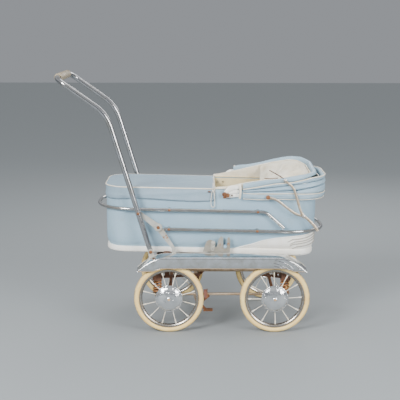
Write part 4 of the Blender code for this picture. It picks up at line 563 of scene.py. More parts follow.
# %% Camera
FOCUS_PIXELS = 960.0
IMAGE_WIDTH = 400.0
pitch, yaw, roll = math.radians(10.6), math.radians(0.1), math.radians(0.1)
ahead = Vector((math.sin(yaw) * math.cos(pitch), math.cos(yaw) * math.cos(pitch), -math.sin(pitch)))
level = Vector((math.cos(yaw), -math.sin(yaw), 0.0))
above = level.cross(ahead)
right = math.cos(roll) * level + math.sin(roll) * above
upward = -math.sin(roll) * level + math.cos(roll) * above
lens = bpy.data.cameras.new("studio_camera")
lens.sensor_width = 36.0
lens.sensor_fit = "HORIZONTAL"
lens.lens = FOCUS_PIXELS / IMAGE_WIDTH * lens.sensor_width
lens.clip_end = 50.0
camera = linked("studio_camera", lens)
turn = Matrix((right, upward, -ahead)).transposed().to_4x4()
camera.matrix_world = Matrix.Translation(here(-0.086, -3.578, 1.118)) @ turn
bpy.context.scene.camera = camera
print("focal length mm:", round(lens.lens, 1))

# %% Floor and lights
floor_shape = bmesh.new()
bmesh.ops.create_grid(floor_shape, x_segments=1, y_segments=1, size=14.0)
floor_mesh = bpy.data.meshes.new("studio_floor")
floor_shape.to_mesh(floor_mesh)
floor_shape.free()
floor_mesh.materials.append(Finish("pale_floor", (0.285, 0.308, 0.32), 0.75).material)
linked("studio_floor", floor_mesh)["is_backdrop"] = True

LAMPS = (("key", (-1.9, -2.9, 2.3), 1.5, 182.0), ("fill", (2.4, -2.6, 1.6), 1.8, 110.0),
         ("top", (0.2, 0.2, 3.0), 1.8, 20.0), ("rim", (0.8, 2.6, 1.9), 1.4, 22.0))
LAMP_AIM = Vector((0.1, 0.0, 0.4))
for label, place, size, power in LAMPS:
    light = bpy.data.lights.new("lamp_" + label, "AREA")
    light.shape = "DISK"
    light.size = size
    light.energy = power
    lamp = linked("lamp_" + label, light)
    lamp.location = place
    lamp.rotation_euler = (LAMP_AIM - Vector(place)).to_track_quat("-Z", "Y").to_euler()
world = bpy.data.worlds.new("studio_world")
world.use_nodes = True
sky = Net(world.node_tree)
bands = sky.ramp(sky.axes(sky.coordinates["Generated"])["Z"], (0.02, (0.4, 0.42, 0.45)),
                 (0.1, (0.34, 0.36, 0.39)), (0.22, (0.62, 0.65, 0.69)), (0.52, (0.96, 0.98, 1.0)),
                 (0.8, (0.74, 0.77, 0.79)))
backing = sky.nodes["Background"]
sky.plug(backing, "Strength", 0.76)
sky.plug(backing, "Color", bands)
bpy.context.scene.world = world
print("lamps:", len(LAMPS))
# %% [markdown]
# ## Wheels
# Each wheel is a ten-inch spoked one: a round cream tyre in a rolled steel rim, twelve wire
# spokes laced to a small hub, and a pressed cap. Tyre, rim, hub and cap are turned shapes, so
# each starts as a drawn profile and is spun round the axle. The spokes are rods with a nipple.

# %% Tyres
SIDES = (("near", -1), ("far", 1))
ENDS = (("foot", -1), ("head", 1))
WHEELS = [(end_label + "_" + label, end, side) for end_label, end in ENDS for label, side in SIDES]
TRACK_HALF = 0.2173


def hub_place(end, side):
    """The middle of one wheel."""
    return here(end * WHEELBASE_HALF, side * TRACK_HALF, WHEEL_RADIUS)


def tyre_profile():
    """A fat round section with a flat worn tread and lips that grip the rim."""
    centre = WHEEL_RADIUS - 0.0102
    section = [(centre + 0.01 * math.sin(a), 0.01 * math.cos(a)) for a in
               [math.radians(d) for d in range(-42, 223, 12)]]
    lips = [(0.1072, -0.0078), (0.1072, 0.0078)]
    return [(min(r, WHEEL_RADIUS - 0.0003), d) for r, d in section] + lips


def mirrored(profile):
    """The other half of a profile that is the same on both sides."""
    return [(r, -d) for r, d in reversed(profile)]


for label, end, side in WHEELS:
    turned("round_tyre_" + label, tyre_profile(), hub_place(end, side), "wheelset_" + label, TYRE,
           "cream_tyre", ["tyre_" + label], steps=96)
print("tyres:", len(WHEELS))

# %% Rim, spokes, hub and cap
SPOKES = 12
# The rim is hooked at both edges over the tyre's lips. This is one half of it.
RIM_HALF = [(0.1068, 0.007), (0.108, 0.0079), (0.1078, 0.009), (0.1062, 0.0093), (0.104, 0.0086),
            (0.1, 0.007), (0.0978, 0.0045), (0.097, 0.0)]
HUB = ((0.0062, -0.0115), (0.015, -0.0115), (0.0158, -0.0105), (0.0158, -0.0085), (0.0145, -0.0075),
       (0.0108, -0.006), (0.0108, 0.005), (0.015, 0.006), (0.0158, 0.0068), (0.0158, 0.0076),
       (0.015, 0.008), (0.0062, 0.008))
# The cap has a rolled edge, a ring pressed round it and a raised middle, and it is hollow inside.
CAP = ((0.049, 0.0087), (0.0494, 0.0097), (0.0486, 0.0108), (0.047, 0.0113), (0.0456, 0.0111),
       (0.044, 0.0128), (0.04, 0.0154), (0.034, 0.018), (0.0262, 0.0202), (0.0176, 0.0216),
       (0.0094, 0.0222), (0.0074, 0.0222), (0.0066, 0.0229), (0.005, 0.0234), (0.0, 0.0236),
       (0.0, 0.0085), (0.015, 0.0085), (0.015, 0.018), (0.042, 0.0108), (0.0478, 0.0086))
CAP_RIVET = ((0.0, 0.0232), (0.0048, 0.0232), (0.0043, 0.0242), (0.0024, 0.0249), (0.0, 0.0251))


def lay_spokes(shape, centre, first_turn):
    """Wires from alternate flanges of the hub to the rim, each with a nipple at its tip."""
    for k in range(SPOKES):
        angle = first_turn + 2 * math.pi * k / SPOKES
        out = Vector((math.cos(angle), 0.0, math.sin(angle)))
        lean = Vector((0.0, 0.0068 if k % 2 else -0.0088, 0.0))
        root, tip = centre + out * 0.0125 + lean, centre + out * 0.0985
        run = (tip - root).normalized()
        carried(shape, [root, root + run * 0.006, tip - run * 0.014, tip - run * 0.013, tip],
                [0.00145, 0.00145, 0.00145, 0.0024, 0.0026], sides=10)
    return shape


for label, end, side in WHEELS:
    centre, body = hub_place(end, side), "wheelset_" + label
    turned("rim_" + label, RIM_HALF + mirrored(RIM_HALF[:-1]), centre, body, RIM_CHROME, "aged_chrome",
           steps=96)
    shape = lay_spokes(bmesh.new(), centre, math.radians(15.0 if end < 0 else 2.0))
    spun(shape, HUB, centre, steps=40, side=side)
    finished("spokes_" + label, shape, body, SPOKE_PAINT, ["wheel_" + label])
    turned("dome_" + label, CAP, centre, body, CAP_CHROME, "aged_chrome", ["hub_cap_" + label], steps=72,
           side=side, crease=50.0)
    turned("cap_rivet_" + label, CAP_RIVET, centre, body, TAN_RIVET, "aged_chrome", steps=24, side=side)
print("spokes on each wheel:", SPOKES)

# %% [markdown]
# ## Sprung lower frame
# Two bars join the axles, one on each side. A coil spring stands on each bar end and a bolt
# runs up through it. These are forged and turned pieces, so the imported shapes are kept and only
# their edges are softened. The springs are drawn again with a rounder wire.

# %% Coil springs
WIRE, COIL, TURNS = 0.0031, 0.0138, 5.0
END_TURN, END_PITCH = 0.9, 0.0062


def spring_line(x, y, low, high, steps=20):
    """A compression spring's path: close turns at both ends and open ones between."""
    low, high = low + WIRE, high - WIRE
    end_rise = END_PITCH * END_TURN
    middle = high - low - 2 * end_rise
    line = []
    for k in range(round(TURNS * steps) + 1):
        t = k / steps
        if t < END_TURN:
            z = low + END_PITCH * t
        elif t > TURNS - END_TURN:
            z = high - END_PITCH * (TURNS - t)
        else:
            z = low + end_rise + middle * (t - END_TURN) / (TURNS - 2 * END_TURN)
        line.append(Vector((x + COIL * math.cos(2 * math.pi * t), y + COIL * math.sin(2 * math.pi * t), z)))
    return line


for label, _, side in WHEELS:
    low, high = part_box("spring_" + label)
    middle = (low + high) / 2
    coil = rod("coil_" + label, spring_line(middle.x, side * 0.17, low.z, high.z), WIRE, "undercarriage",
               SPRING_RUST, "rusty_steel", ["spring_" + label], sides=12)
    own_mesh(coil)
print("spring height:", round(high.z - low.z, 4))


# %% Kept metal pieces
def dress(node, material, edge):
    """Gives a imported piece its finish, and rounds its edges after joining its loose triangles."""
    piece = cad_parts[node]
    piece.data.materials.clear()
    piece.data.materials.append(material)
    weld = piece.modifiers.new("joined", "WELD")
    weld.merge_threshold = 0.00001
    add_bevel(piece, edge)


KEPT = (("side_bar_", SIDES, ROD_COPPER, 0.0008), ("brake_pad_", SIDES, BRAKE_RUBBER, 0.001),
        ("strut_upper_", SIDES, GREY_PAINT, 0.0005), ("strut_lower_", SIDES, GREY_PAINT, 0.0005),
        ("latch_plate_", SIDES, LATCH_PAINT, 0.0006), ("latch_lever_", SIDES, GREY_PAINT, 0.0006),
        ("handle_bracket_", SIDES, GREY_PAINT, 0.0006), ("hood_hinge_", SIDES, RUSTY_STEEL, 0.0006),
        ("axle_", ENDS, RUSTY_STEEL, 0.0006), ("yoke_", ENDS, RUSTY_BROWN, 0.0008))
for stem, places, material, edge in KEPT:
    for label, _ in places:
        dress(stem + label, material, edge)
dress("brake_lever", RUSTY_STEEL, 0.0006)
print("kinds of kept pieces:", len(KEPT) + 1)

# %% Cheek of the latch plate
LATCH_LAYER = (0.1556, 0.1584)
CHEEK = ((-0.069, 0.285), (-0.0663, 0.2943), (-0.0617, 0.3106), (-0.0548, 0.325), (-0.0446, 0.3307),
         (-0.0362, 0.3288), (-0.0315, 0.3202), (-0.029, 0.308), (-0.027, 0.2868))
for label, side in SIDES:
    shape = laid(bmesh.new(), [[here(x, side * y, z) for x, z in CHEEK] for y in LATCH_LAYER], capped=True)
    add_bevel(finished("latch_cheek_" + label, shape, "chassis", LATCH_PAINT), 0.0006)
print("cheek plates:", len(SIDES))

# %% [markdown]
# ## Fenders
# A single pressing covers both wheels on each side. Its top is nearly flat, it turns over a
# crease to an upright side, and both ends sweep down to a point. A grid laid over cross
# sections gives the smooth sweep, Solidify gives the sheet's thickness, and a wire is rolled
# into the lower edge. The long ribs pressed into the head end stand out as thin raised lines.

# %% Fender skin
def ease(value):
    """Runs smoothly from 0 to 1."""
    value = max(0.0, min(1.0, value))
    return value * value * (3 - 2 * value)


FENDER_CREASE = 0.2812


def fender_heights(x):
    """Height of the crease and of the lower edge along the pram. Past 200 mm both ends sweep down."""
    sweep = max(0.0, (-0.2 - x) / 0.106, (x - 0.2) / 0.104)
    crease = FENDER_CREASE - 0.05 * min(1.0, sweep) ** 2
    edge = 0.241 - 0.011 * ease((-0.215 - x) / 0.04) - 0.011 * ease((x - 0.225) / 0.04)
    return crease, min(edge, crease - 0.004)


FENDER_STATIONS = [-0.306 + 0.119 * (1 - math.cos(math.pi / 2 * k / 22)) for k in range(23)]
FENDER_STATIONS += [-0.187 + 0.43 * k / 20 for k in range(1, 21)]
FENDER_STATIONS += [0.243 + 0.061 * math.sin(math.pi / 2 * k / 18) for k in range(1, 19)]


def fender_row(x, side):
    """One cross section: rolled inner edge, flat top, rounded crease, upright side, turned-in foot."""
    crease, edge = fender_heights(x)
    y_in, y_out = 0.192, 0.238
    row = [(y_in + 0.0006, crease + 0.001), (y_in, crease + 0.0042), (y_in + 0.002, crease + 0.0066),
           (y_in + 0.012, crease + 0.0062), (y_in + 0.026, crease + 0.0046), (y_out - 0.01, crease + 0.0024)]
    row += [(y_out - 0.005 + 0.005 * math.sin(a), crease - 0.0044 + 0.0055 * math.cos(a))
            for a in (0.0, 0.4, 0.8, 1.2, 1.57)]
    row += [(y_out - 0.0002, crease - 0.0044 + (edge + 0.002 - crease + 0.0044) * share)
            for share in (0.35, 0.7)]
    row += [(y_out - 0.0002, edge + 0.0016), (y_out - 0.0012, edge + 0.0003), (y_out - 0.003, edge)]
    return [here(x, side * y, z) for y, z in row]


for label, side in SIDES:
    skin = skinned("mudguard_" + label, [fender_row(x, side) for x in FENDER_STATIONS], "chassis",
                   FENDER_CHROME, "aged_chrome", ["fender_" + label], joined=False)
    thicken(skin, "sheet", 0.0014, -1.0)
    print("mudguard", label, "faces:", len(skin.data.polygons))

# %% Fender edges, ribs and anchors
RIB_LINES = (((0.19, 0.279), (0.2287, 0.2738), (0.2564, 0.2605), (0.275, 0.2443), (0.284, 0.2345)),
             ((0.188, 0.2733), (0.2152, 0.2663), (0.2405, 0.2537), (0.26, 0.237)),
             ((0.184, 0.263), (0.2108, 0.2545), (0.2339, 0.2428), (0.243, 0.2365)),
             ((0.184, 0.2521), (0.2041, 0.247), (0.215, 0.243)))
ANCHOR_X = -0.1747
ANCHOR_PIN = ((0.0, 0.1645), (0.0046, 0.1645), (0.005, 0.1652), (0.0032, 0.1657), (0.0032, 0.1745),
              (0.0, 0.1745))
for label, side in SIDES:
    wire = [here(x, side * 0.2368, fender_heights(x)[1] + 0.0012) for x in FENDER_STATIONS[2:-2]]
    rod("rolled_edge_" + label, wire, 0.0016, "chassis", ROD_COPPER, "aged_chrome", sides=10)
    inner = [here(x, side * 0.1925, fender_heights(x)[0] + 0.005) for x in FENDER_STATIONS[2:-2]]
    rod("inner_bead_" + label, inner, 0.0019, "chassis", SPOKE_PAINT, "aged_chrome", sides=8)
    shape = bmesh.new()
    for rib in RIB_LINES:
        path = smooth_line([here(x, side * 0.238, z) for x, z in rib], 5)
        shares = [step / (len(path) - 1) for step in range(len(path))]
        sizes = [0.0005 + 0.0011 * math.sin(math.pi * share) ** 0.5 for share in shares]
        carried(shape, path, sizes, sides=10)
    # The ribs take the darker tube chrome so they read as dark lines: a painted shade.
    finished("pressed_ribs_" + label, shape, "chassis", TUBE_CHROME)
    shape = block(bmesh.new(), here(ANCHOR_X, side * 0.1726, 0.2925), (0.016, 0.003, 0.02))
    block(shape, here(ANCHOR_X, side * 0.188, 0.2843), (0.016, 0.034, 0.0028))
    spun(shape, ANCHOR_PIN, here(ANCHOR_X, 0.0, 0.2985), steps=20, side=side)
    add_bevel(finished("strut_anchor_" + label, shape, "chassis", GREY_PAINT), 0.0008)
print("ribs on each fender:", len(RIB_LINES))

# %% [markdown]
# ## Handle
# One length of plated tube makes both arms and the crossbar. The path is five straight runs
# with arcs at the bends, and a ring is carried along it. The grip is a moulded sleeve with a
# shallow groove near each end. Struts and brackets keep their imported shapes.

# %% Handle tube
HANDLE_HALF = 0.1835
ARM_BOTTOM, ARM_TURN, CROSSBAR = (-0.2652, 0.311), (-0.4117, 0.7906), (-0.588, 0.916)
HANDLE_PIVOT, ARM_STUD = here(-0.2585, 0.0, 0.292), here(-0.3026, 0.0, 0.4336)
STRUT_KNUCKLE = here(-0.2315, 0.0, 0.3792)
STUD = ((0.0, 0.167), (0.0044, 0.167), (0.0048, 0.1676), (0.0032, 0.1682), (0.0032, 0.18), (0.0, 0.18))
corners = [here(x, -HANDLE_HALF, z) for x, z in (ARM_BOTTOM, ARM_TURN, CROSSBAR)]
corners += [here(x, HANDLE_HALF, z) for x, z in (CROSSBAR, ARM_TURN, ARM_BOTTOM)]
shape = carried(bmesh.new(), rounded(corners, [0.15, 0.045, 0.045, 0.15]), 0.01, sides=28)
run = (here(ARM_TURN[0], 0.0, ARM_TURN[1]) - here(ARM_BOTTOM[0], 0.0, ARM_BOTTOM[1])).normalized()
for side in (-1, 1):
    out = Vector((0.0, side * HANDLE_HALF, 0.0))
    foot, start = HANDLE_PIVOT + out, here(ARM_BOTTOM[0], 0.0, ARM_BOTTOM[1]) + out
    path = [foot - run * 0.008, foot - run * 0.004, foot, start - run * 0.004, start + run * 0.01]
    carried(shape, path, [0.0062, 0.0088, 0.009, 0.009, 0.0095], sides=20, flat=0.29, flat_along=ACROSS)
    spun(shape, STUD, ARM_STUD, steps=20, side=side)
finished("bent_tube", shape, "handle", TUBE_CHROME, ["handle_tube"])

half = 0.125
groove = [(0.0104, -half), (0.0128, -half), (0.014, -half + 0.0015), (0.0149, -half + 0.005),
          (0.0149, -half + 0.011), (0.0143, -half + 0.0125), (0.0149, -half + 0.014)]
bar_place = here(CROSSBAR[0], 0.0, CROSSBAR[1])
turned("moulded_grip", groove + mirrored(groove), bar_place, "handle", GRIP, "cream_grip", ["handle_grip"],
       steps=48)
print("tube reaches", [round(v, 3) for v in bar_place])


# %% Bolts on the struts
def bolt_head(name, centre, along, side, body, radius, material=RUSTY_STEEL):
    """A domed bolt head on a washer, facing out."""
    profile = [(0.0, along - 0.0004), (radius * 1.25, along - 0.0004), (radius * 1.25, along + 0.0006),
               (radius, along + 0.001), (radius * 0.92, along + 0.0022), (radius * 0.55, along + 0.0033),
               (0.0, along + 0.0037)]
    turned(name, profile, centre, body, material, "rusty_steel", steps=28, side=side)


WASHER = ((0.0, 0.174), (0.0125, 0.174), (0.0128, 0.1748), (0.0122, 0.1756), (0.009, 0.176), (0.0, 0.176))
for label, side in SIDES:
    bolt_head("knuckle_bolt_" + label, STRUT_KNUCKLE, 0.176, side, "upper_strut_" + label, 0.005)
    turned("knuckle_washer_" + label, WASHER, STRUT_KNUCKLE, "upper_strut_" + label, GREY_PAINT,
           "grey_paint", steps=36, side=side)
    bolt_head("arm_rivet_" + label, ARM_STUD, 0.1932, side, "handle", 0.0044)
    bolt_head("pivot_bolt_" + label, HANDLE_PIVOT, 0.1935, side, "chassis", 0.005)
print("bolts on each side:", 3)

# %% [markdown]
# ## Cot
# The cot is a box with round corners, covered in blue coated cloth. It stands in a white
# moulded tray, and a white panel sweeps up round its head end with four nested ribs. Each wall
# is drawn as rings of one plan outline, drawn in a little towards the bottom, so a grid laid
# over the rings makes the whole skin at once.

# %% Cot walls
COT_LENGTH, COT_WIDTH, COT_CORNER, COT_MIDDLE = 0.3875, 0.144, 0.077, -0.0085
TRAY_TOP = 0.013
PEG = ((0.0, 0.139), (0.006, 0.139), (0.006, 0.1622), (0.0053, 0.163), (0.0, 0.163))
BRACE_POST = ((0.0, 0.139), (0.0075, 0.139), (0.0075, 0.1448), (0.003, 0.146), (0.003, 0.1684), (0.0, 0.1684))
BRACE_FOOT = cot(0.1957, 0.0, 0.2139)


def outline(inset, steps=14):
    """The cot's outline in plan, drawn in by an inset, from the head end's near corner round."""
    length, width, corner = COT_LENGTH - inset, COT_WIDTH - inset, max(0.01, COT_CORNER - inset)
    path = []
    for sx, sy, start in ((1, -1, -0.5), (1, 1, 0.0), (-1, 1, 0.5), (-1, -1, 1.0)):
        centre = (COT_MIDDLE + sx * (length - corner), sy * (width - corner))
        path += arc(centre, corner, start * math.pi, (start + 0.5) * math.pi, steps)
    dense = []
    for (ax, ay), (bx, by) in zip(path, path[1:] + path[:1]):
        pieces = max(1, round(math.dist((ax, ay), (bx, by)) / 0.028))
        dense += [(ax + (bx - ax) * k / pieces, ay + (by - ay) * k / pieces) for k in range(pieces)]
    return dense


def wall_inset(z):
    """How far the wall is drawn in at a height: it tapers down to the tray and turns under at its foot."""
    height = max(0.0, z - TRAY_TOP)
    return 0.004 * (1 - min(1.0, height / 0.12)) + 0.01 * max(0.0, 1 - height / 0.03) ** 2


def wall_row(z, inset=0.0):
    """One ring of the wall's skin."""
    return [cot(x, y, z) for x, y in outline(wall_inset(z) + inset)]


rows = [wall_row(z) for z in (0.0133, 0.016, 0.019, 0.023, 0.028, 0.034, 0.05, 0.08, 0.115, 0.15, 0.19,
                              0.222, 0.231)]
rows += [wall_row(0.2342, 0.001), wall_row(0.235, 0.003), wall_row(0.235, 0.0065), wall_row(0.2335, 0.009)]
rows += [wall_row(z, 0.009) for z in (0.2, 0.12, 0.06, 0.03)]
shape = laid(bmesh.new(), rows, capped=True)
for side in (-1, 1):
    spun(shape, PEG, cot(0.0455, 0.0, 0.026), steps=24, side=side)
    spun(shape, BRACE_POST, BRACE_FOOT, steps=20, side=side)
finished("blue_walls", shape, "cot", BLUE_SKIN, ["cot_shell"])
print("outline points:", len(outline(0.0)))

# %% Inside lining
rows = [wall_row(0.03 + 0.0004, 0.0093)] + [wall_row(z, 0.0093) for z in (0.06, 0.12, 0.18, 0.23)]
rows += [wall_row(0.2325, 0.0102), wall_row(0.2325, 0.0115)]
rows += [wall_row(z, 0.0123) for z in (0.228, 0.18, 0.12, 0.075, 0.05)]
rows += [wall_row(0.036, 0.015), wall_row(0.033, 0.023)]
lining = skinned("cotton_lining", rows, "cot", LINING, "beige_lining", ["cot_lining"], capped=True)
shape = bmesh.new()
EYELET = ((0.0018, 0.0), (0.004, 0.0), (0.0042, -0.0006), (0.0036, -0.0012), (0.0022, -0.0012),
          (0.0018, -0.0006))
for x in (0.018, 0.04):
    spun(shape, EYELET, cot(x, 0.1316, 0.218), steps=24)
finished("eyelets", shape, "cot", BRIGHT_STEEL)
print("lining rows:", len(rows))

# %% White tray
HEAD_DROP_START, HEAD_DROP = 0.222, 0.0105
TRAY_ROWS = ((0.0, 0.024), (0.0, 0.016), (-0.0046, 0.0125), (-0.0052, 0.0085), (-0.003, 0.006),
             (0.0012, 0.0052), (0.007, 0.005), (0.0112, 0.005), (0.0136, 0.0058),
             (0.015, 0.009), (0.015, 0.013))
DROP_ROWS = ((0.0, 0.024), (0.0006, 0.015), (0.004, 0.0085), (0.01, 0.0062))
shape = laid(bmesh.new(), [[cot(x, y, z) for x, y in outline(inset)] for z, inset in TRAY_ROWS], capped=True)
rows = [[cot(max(x, HEAD_DROP_START), y, lift - HEAD_DROP * ease((x - HEAD_DROP_START) / 0.05))
         for x, y in outline(inset)] for lift, inset in DROP_ROWS]
laid(shape, rows, capped=True)
finished("white_tray", shape, "cot", WHITE_PANEL, ["cot_tray"])
print("tray drops", HEAD_DROP)

# %% [markdown]
# ## The white panel and its ribs
# The panel starts as a point on each side wall, rises towards the head and runs round the end.
# It follows the wall, so its rows are the wall's own line pushed out by a millimetre. Four ribs
# nest in it where it climbs, like pleats, and a bead finishes its top edge.

# %% Lines round the walls
def wall_line(start_x, end, first):
    """The outer wall line from the first side at start_x, round one end of the cot, to the other side."""
    reach_x, reach_y = COT_LENGTH - COT_CORNER, COT_WIDTH - COT_CORNER
    corner_x = COT_MIDDLE + end * reach_x
    steps = 24 if end > 0 else 36
    line = [(start_x + (corner_x - start_x) * k / steps, first * COT_WIDTH) for k in range(steps)]
    turn = (-math.pi / 2, 0.0) if end > 0 else (math.pi / 2, math.pi)
    line += arc((corner_x, first * reach_y), COT_CORNER, *turn, 16)
    line += [(corner_x + end * COT_CORNER, first * reach_y * share) for share in (0.66, 0.33)]
    return line + [(corner_x + end * COT_CORNER, 0.0)] + [(x, -y) for x, y in reversed(line)]


def travelled(line):
    """The length run along a line at each of its points."""
    run = [0.0]
    for a, b in zip(line, line[1:]):
        run.append(run[-1] + math.dist(a, b))
    return run


# The corners' middles stand this far from the middle of the cot.
CORE_X, CORE_Y = 0.3105, 0.067


def pushed(x, y, z, out):
    """A place on the tapered wall at a height, stood off by a distance."""
    core = Vector((max(COT_MIDDLE - CORE_X, min(COT_MIDDLE + CORE_X, x)), max(-CORE_Y, min(CORE_Y, y))))
    away = (Vector((x, y)) - core).normalized()
    spot = core + away * (COT_CORNER - wall_inset(z) + out)
    return cot(spot.x, spot.y, z)


def read_curve(points, at):
    """The height of a line of (along, height) points at one place along it."""
    for (a, low), (b, high) in zip(points, points[1:]):
        if at <= b:
            share = max(0.0, (at - a) / (b - a))
            return low + (high - low) * share
    return points[-1][1]


# %% The white panel and its ribs
PANEL_TOP = ((0.0, 0.0145), (0.058, 0.031), (0.102, 0.047), (0.149, 0.057), (0.204, 0.064), (0.3, 0.076),
             (0.36, 0.09), (0.42, 0.097), (0.6, 0.098))
# Each rib: where it starts along the line, its height there and how far it rises.
PANEL_RIBS = ((0.196, 0.054, 0.025), (0.204, 0.0455, 0.023), (0.2, 0.037, 0.02), (0.214, 0.028, 0.015))
line = wall_line(0.079, 1, -1)
runs = travelled(line)
runs = [min(run, runs[-1] - run) for run in runs]
rows = []
for (x, y), run in zip(line, runs):
    top = read_curve(PANEL_TOP, run)
    levels = [0.0125 + (top - 0.0125) * share for share in (0.0, 0.12, 0.26, 0.42, 0.6, 0.8, 1.0)]
    ring = [pushed(x, y, z, 0.0002) for z in levels]
    ring += [pushed(x, y, z - (0.0006 if z == top else 0.0), 0.0026) for z in levels[::-1]]
    rows.append(ring)
skinned("white_sweep", rows, "cot", WHITE_PANEL, "white_panel", capped=True)

edge = [pushed(x, y, read_curve(PANEL_TOP, run), 0.0022) for (x, y), run in zip(line, runs)]
rod("sweep_bead", edge, [0.0008 + 0.0014 * min(1.0, run / 0.03) for run in runs], "cot", WHITE_PANEL,
    "white_panel", sides=10)
shape = bmesh.new()
for start, level, rise in PANEL_RIBS:
    path, sizes = [], []
    for (x, y), run in zip(line, runs):
        if run >= start - 0.002:
            share = ease((run - start) / 0.2)
            drop = 0.01 * ease((start + 0.02 - run) / 0.022)
            path.append(pushed(x, y, level + rise * share - drop, 0.003))
            sizes.append(0.001 + 0.0012 * min(1.0, (run - start + 0.002) / 0.02))
    carried(shape, path, sizes, sides=10)
finished("sweep_ribs", shape, "cot", RIB_SHADE)
print("panel ribs:", len(PANEL_RIBS))

# %% [markdown]
# ## Rails
# Two plated tubes run round the cot. The upper one wraps the foot end and its front ends bend
# down and are left open. The lower one wraps the head end. Each stands off the wall on short
# spacers, held by rivets that have gone brown.

# %% Rail tubes
RAIL_SIDE = COT_WIDTH + 0.015
SPACER = ((0.0, 0.1443), (0.0075, 0.1443), (0.007, 0.147), (0.0052, 0.15), (0.0048, 0.156), (0.0, 0.156))
RIVET = ((0.0, 0.1645), (0.005, 0.1645), (0.0048, 0.1662), (0.003, 0.1676), (0.0, 0.168))


def rail_path(end, start_x, z):
    """A rail from one side to the other, round one end of the cot."""
    tip = COT_MIDDLE + end * (COT_LENGTH + 0.03)
    return [(start_x, -RAIL_SIDE, z), (tip, -RAIL_SIDE, z), (tip, RAIL_SIDE, z), (start_x, RAIL_SIDE, z)]


upper = [(0.258, -RAIL_SIDE, 0.1)] + rail_path(-1, 0.19, 0.158) + [(0.258, RAIL_SIDE, 0.1)]
lower = rail_path(1, -0.179, 0.0865)
for name, points, radii, height in (("upper_rail", upper, [0.045, 0.135, 0.135, 0.045], 0.158),
                                    ("lower_rail", lower, [0.135, 0.135], 0.0865)):
    tube = carried(bmesh.new(), rounded([cot(*p) for p in points], radii), 0.0063, sides=24)
    rivets = bmesh.new()
    for side in (-1, 1):
        for x in (-0.161, 0.161):
            spun(tube, SPACER, cot(x, 0.0, height), steps=24, side=side)
            spun(rivets, RIVET, cot(x, 0.0, height), steps=24, side=side)
    finished(name + "_tube", tube, "cot", CHROME, [name])
    finished(name + "_rivets", rivets, "cot", RUSTY_STEEL)
    print(name, "height on the cot:", height)

# %% [markdown]
# ## Apron
# The apron is one sheet of coated cloth. It hangs outside the walls in a short skirt and lies
# over the foot half, where it sags a little between the walls. A grid runs from hem to hem
# over the top. Noise and a few long waves give it folds, and cream piping edges it.

# %% Apron sheet
APRON_FRONT = 0.004
HEM, RIM_HEIGHT = 0.193, 0.2335
FOOT_EDGE = COT_MIDDLE - COT_LENGTH + 0.02


def top_sag(x, y):
    """How far the top lies below the rim: nothing at its edges, most in the middle."""
    across = max(0.0, 1 - (abs(y) / 0.139) ** 2.4)
    along = ease((x + 0.392) / 0.06)
    wave = 0.0016 * math.sin(x * 26.0 + y * 9.0) + 0.0022 * swell(x * 11.0, y * 11.0, 2.0)
    return (0.0075 + wave) * across * along


def off_wall(x, y, z, out):
    """A place beside the wall at a height, stood off by a distance that ignores the wall's taper."""
    return pushed(x, y, z, 0.0) + (pushed(x, y, z, 1.0) - pushed(x, y, z, 0.0)) * out


line = wall_line(APRON_FRONT, -1, 1)
runs = travelled(line)
rows = []
for (x, y), run in zip(line, runs):
    wave = 0.5 - 0.5 * math.cos(2 * math.pi * 7 * run / runs[-1])
    long_fold = 0.0035 * math.exp(-((x + 0.16) / 0.1) ** 2)
    row = []
    for step in range(9):
        share = step / 8
        z = HEM + 0.003 * math.sin(6 * math.pi * run / runs[-1]) * (1 - share) + (RIM_HEIGHT - HEM) * share
        crease = 0.003 * math.exp(-((share - 0.3 - 0.5 * max(0.0, min(1.0, (x + 0.3) / 0.25))) / 0.1) ** 2)
        out = 0.0016 + (1 - share) * (0.0024 * wave + long_fold) + crease * 0.6
        out += 0.0012 * (1 - share) * swell(x * 30.0, y * 30.0, share * 3.0)
        row.append(off_wall(x, y, z, out + wall_inset(z)))
    row += [pushed(x, y, 0.2352, 0.0012), pushed(x, y, 0.2372, 0.0002)]
    edge_x = x if x > FOOT_EDGE else FOOT_EDGE - 0.9 * (FOOT_EDGE - x)
    for step in range(1, 19):
        flat_y = y * (1 - 0.0175) * (1 - step / 18)
        row.append(cot(edge_x, flat_y, 0.2388 - top_sag(edge_x, flat_y)))
    rows.append(row)
apron = skinned("apron_sheet", rows, "cot", BLUE_CLOTH, "blue_fabric", ["apron"], joined=False)
thicken(apron, "cloth", 0.0014, 1.0)

# %% Apron piping and hem
shape = carried(bmesh.new(), [off_wall(x, y, 0.2366, 0.003) for x, y in line], 0.0021, sides=12)
across = [0.144 - 0.288 * k / 30 for k in range(31)]
front = [cot(APRON_FRONT - 0.001, y, 0.2395 - top_sag(APRON_FRONT, y)) for y in across]
carried(shape, front, 0.0022, sides=12)
for side in (-1, 1):
    drop = [pushed(APRON_FRONT - 0.001, side * COT_WIDTH, 0.236 - 0.041 * k / 8, 0.0) for k in range(9)]
    carried(shape, [p + Vector((0.0, side * 0.0034, 0.0)) for p in drop], 0.0013, sides=10)
finished("apron_piping", shape, "cot", PIPING)
rod("apron_hem", [row[0] + Vector((0.0, 0.0, 0.0024)) for row in rows], 0.0008, "cot", BLUE_CLOTH,
    "blue_fabric", sides=6)
print("apron rows:", len(rows))

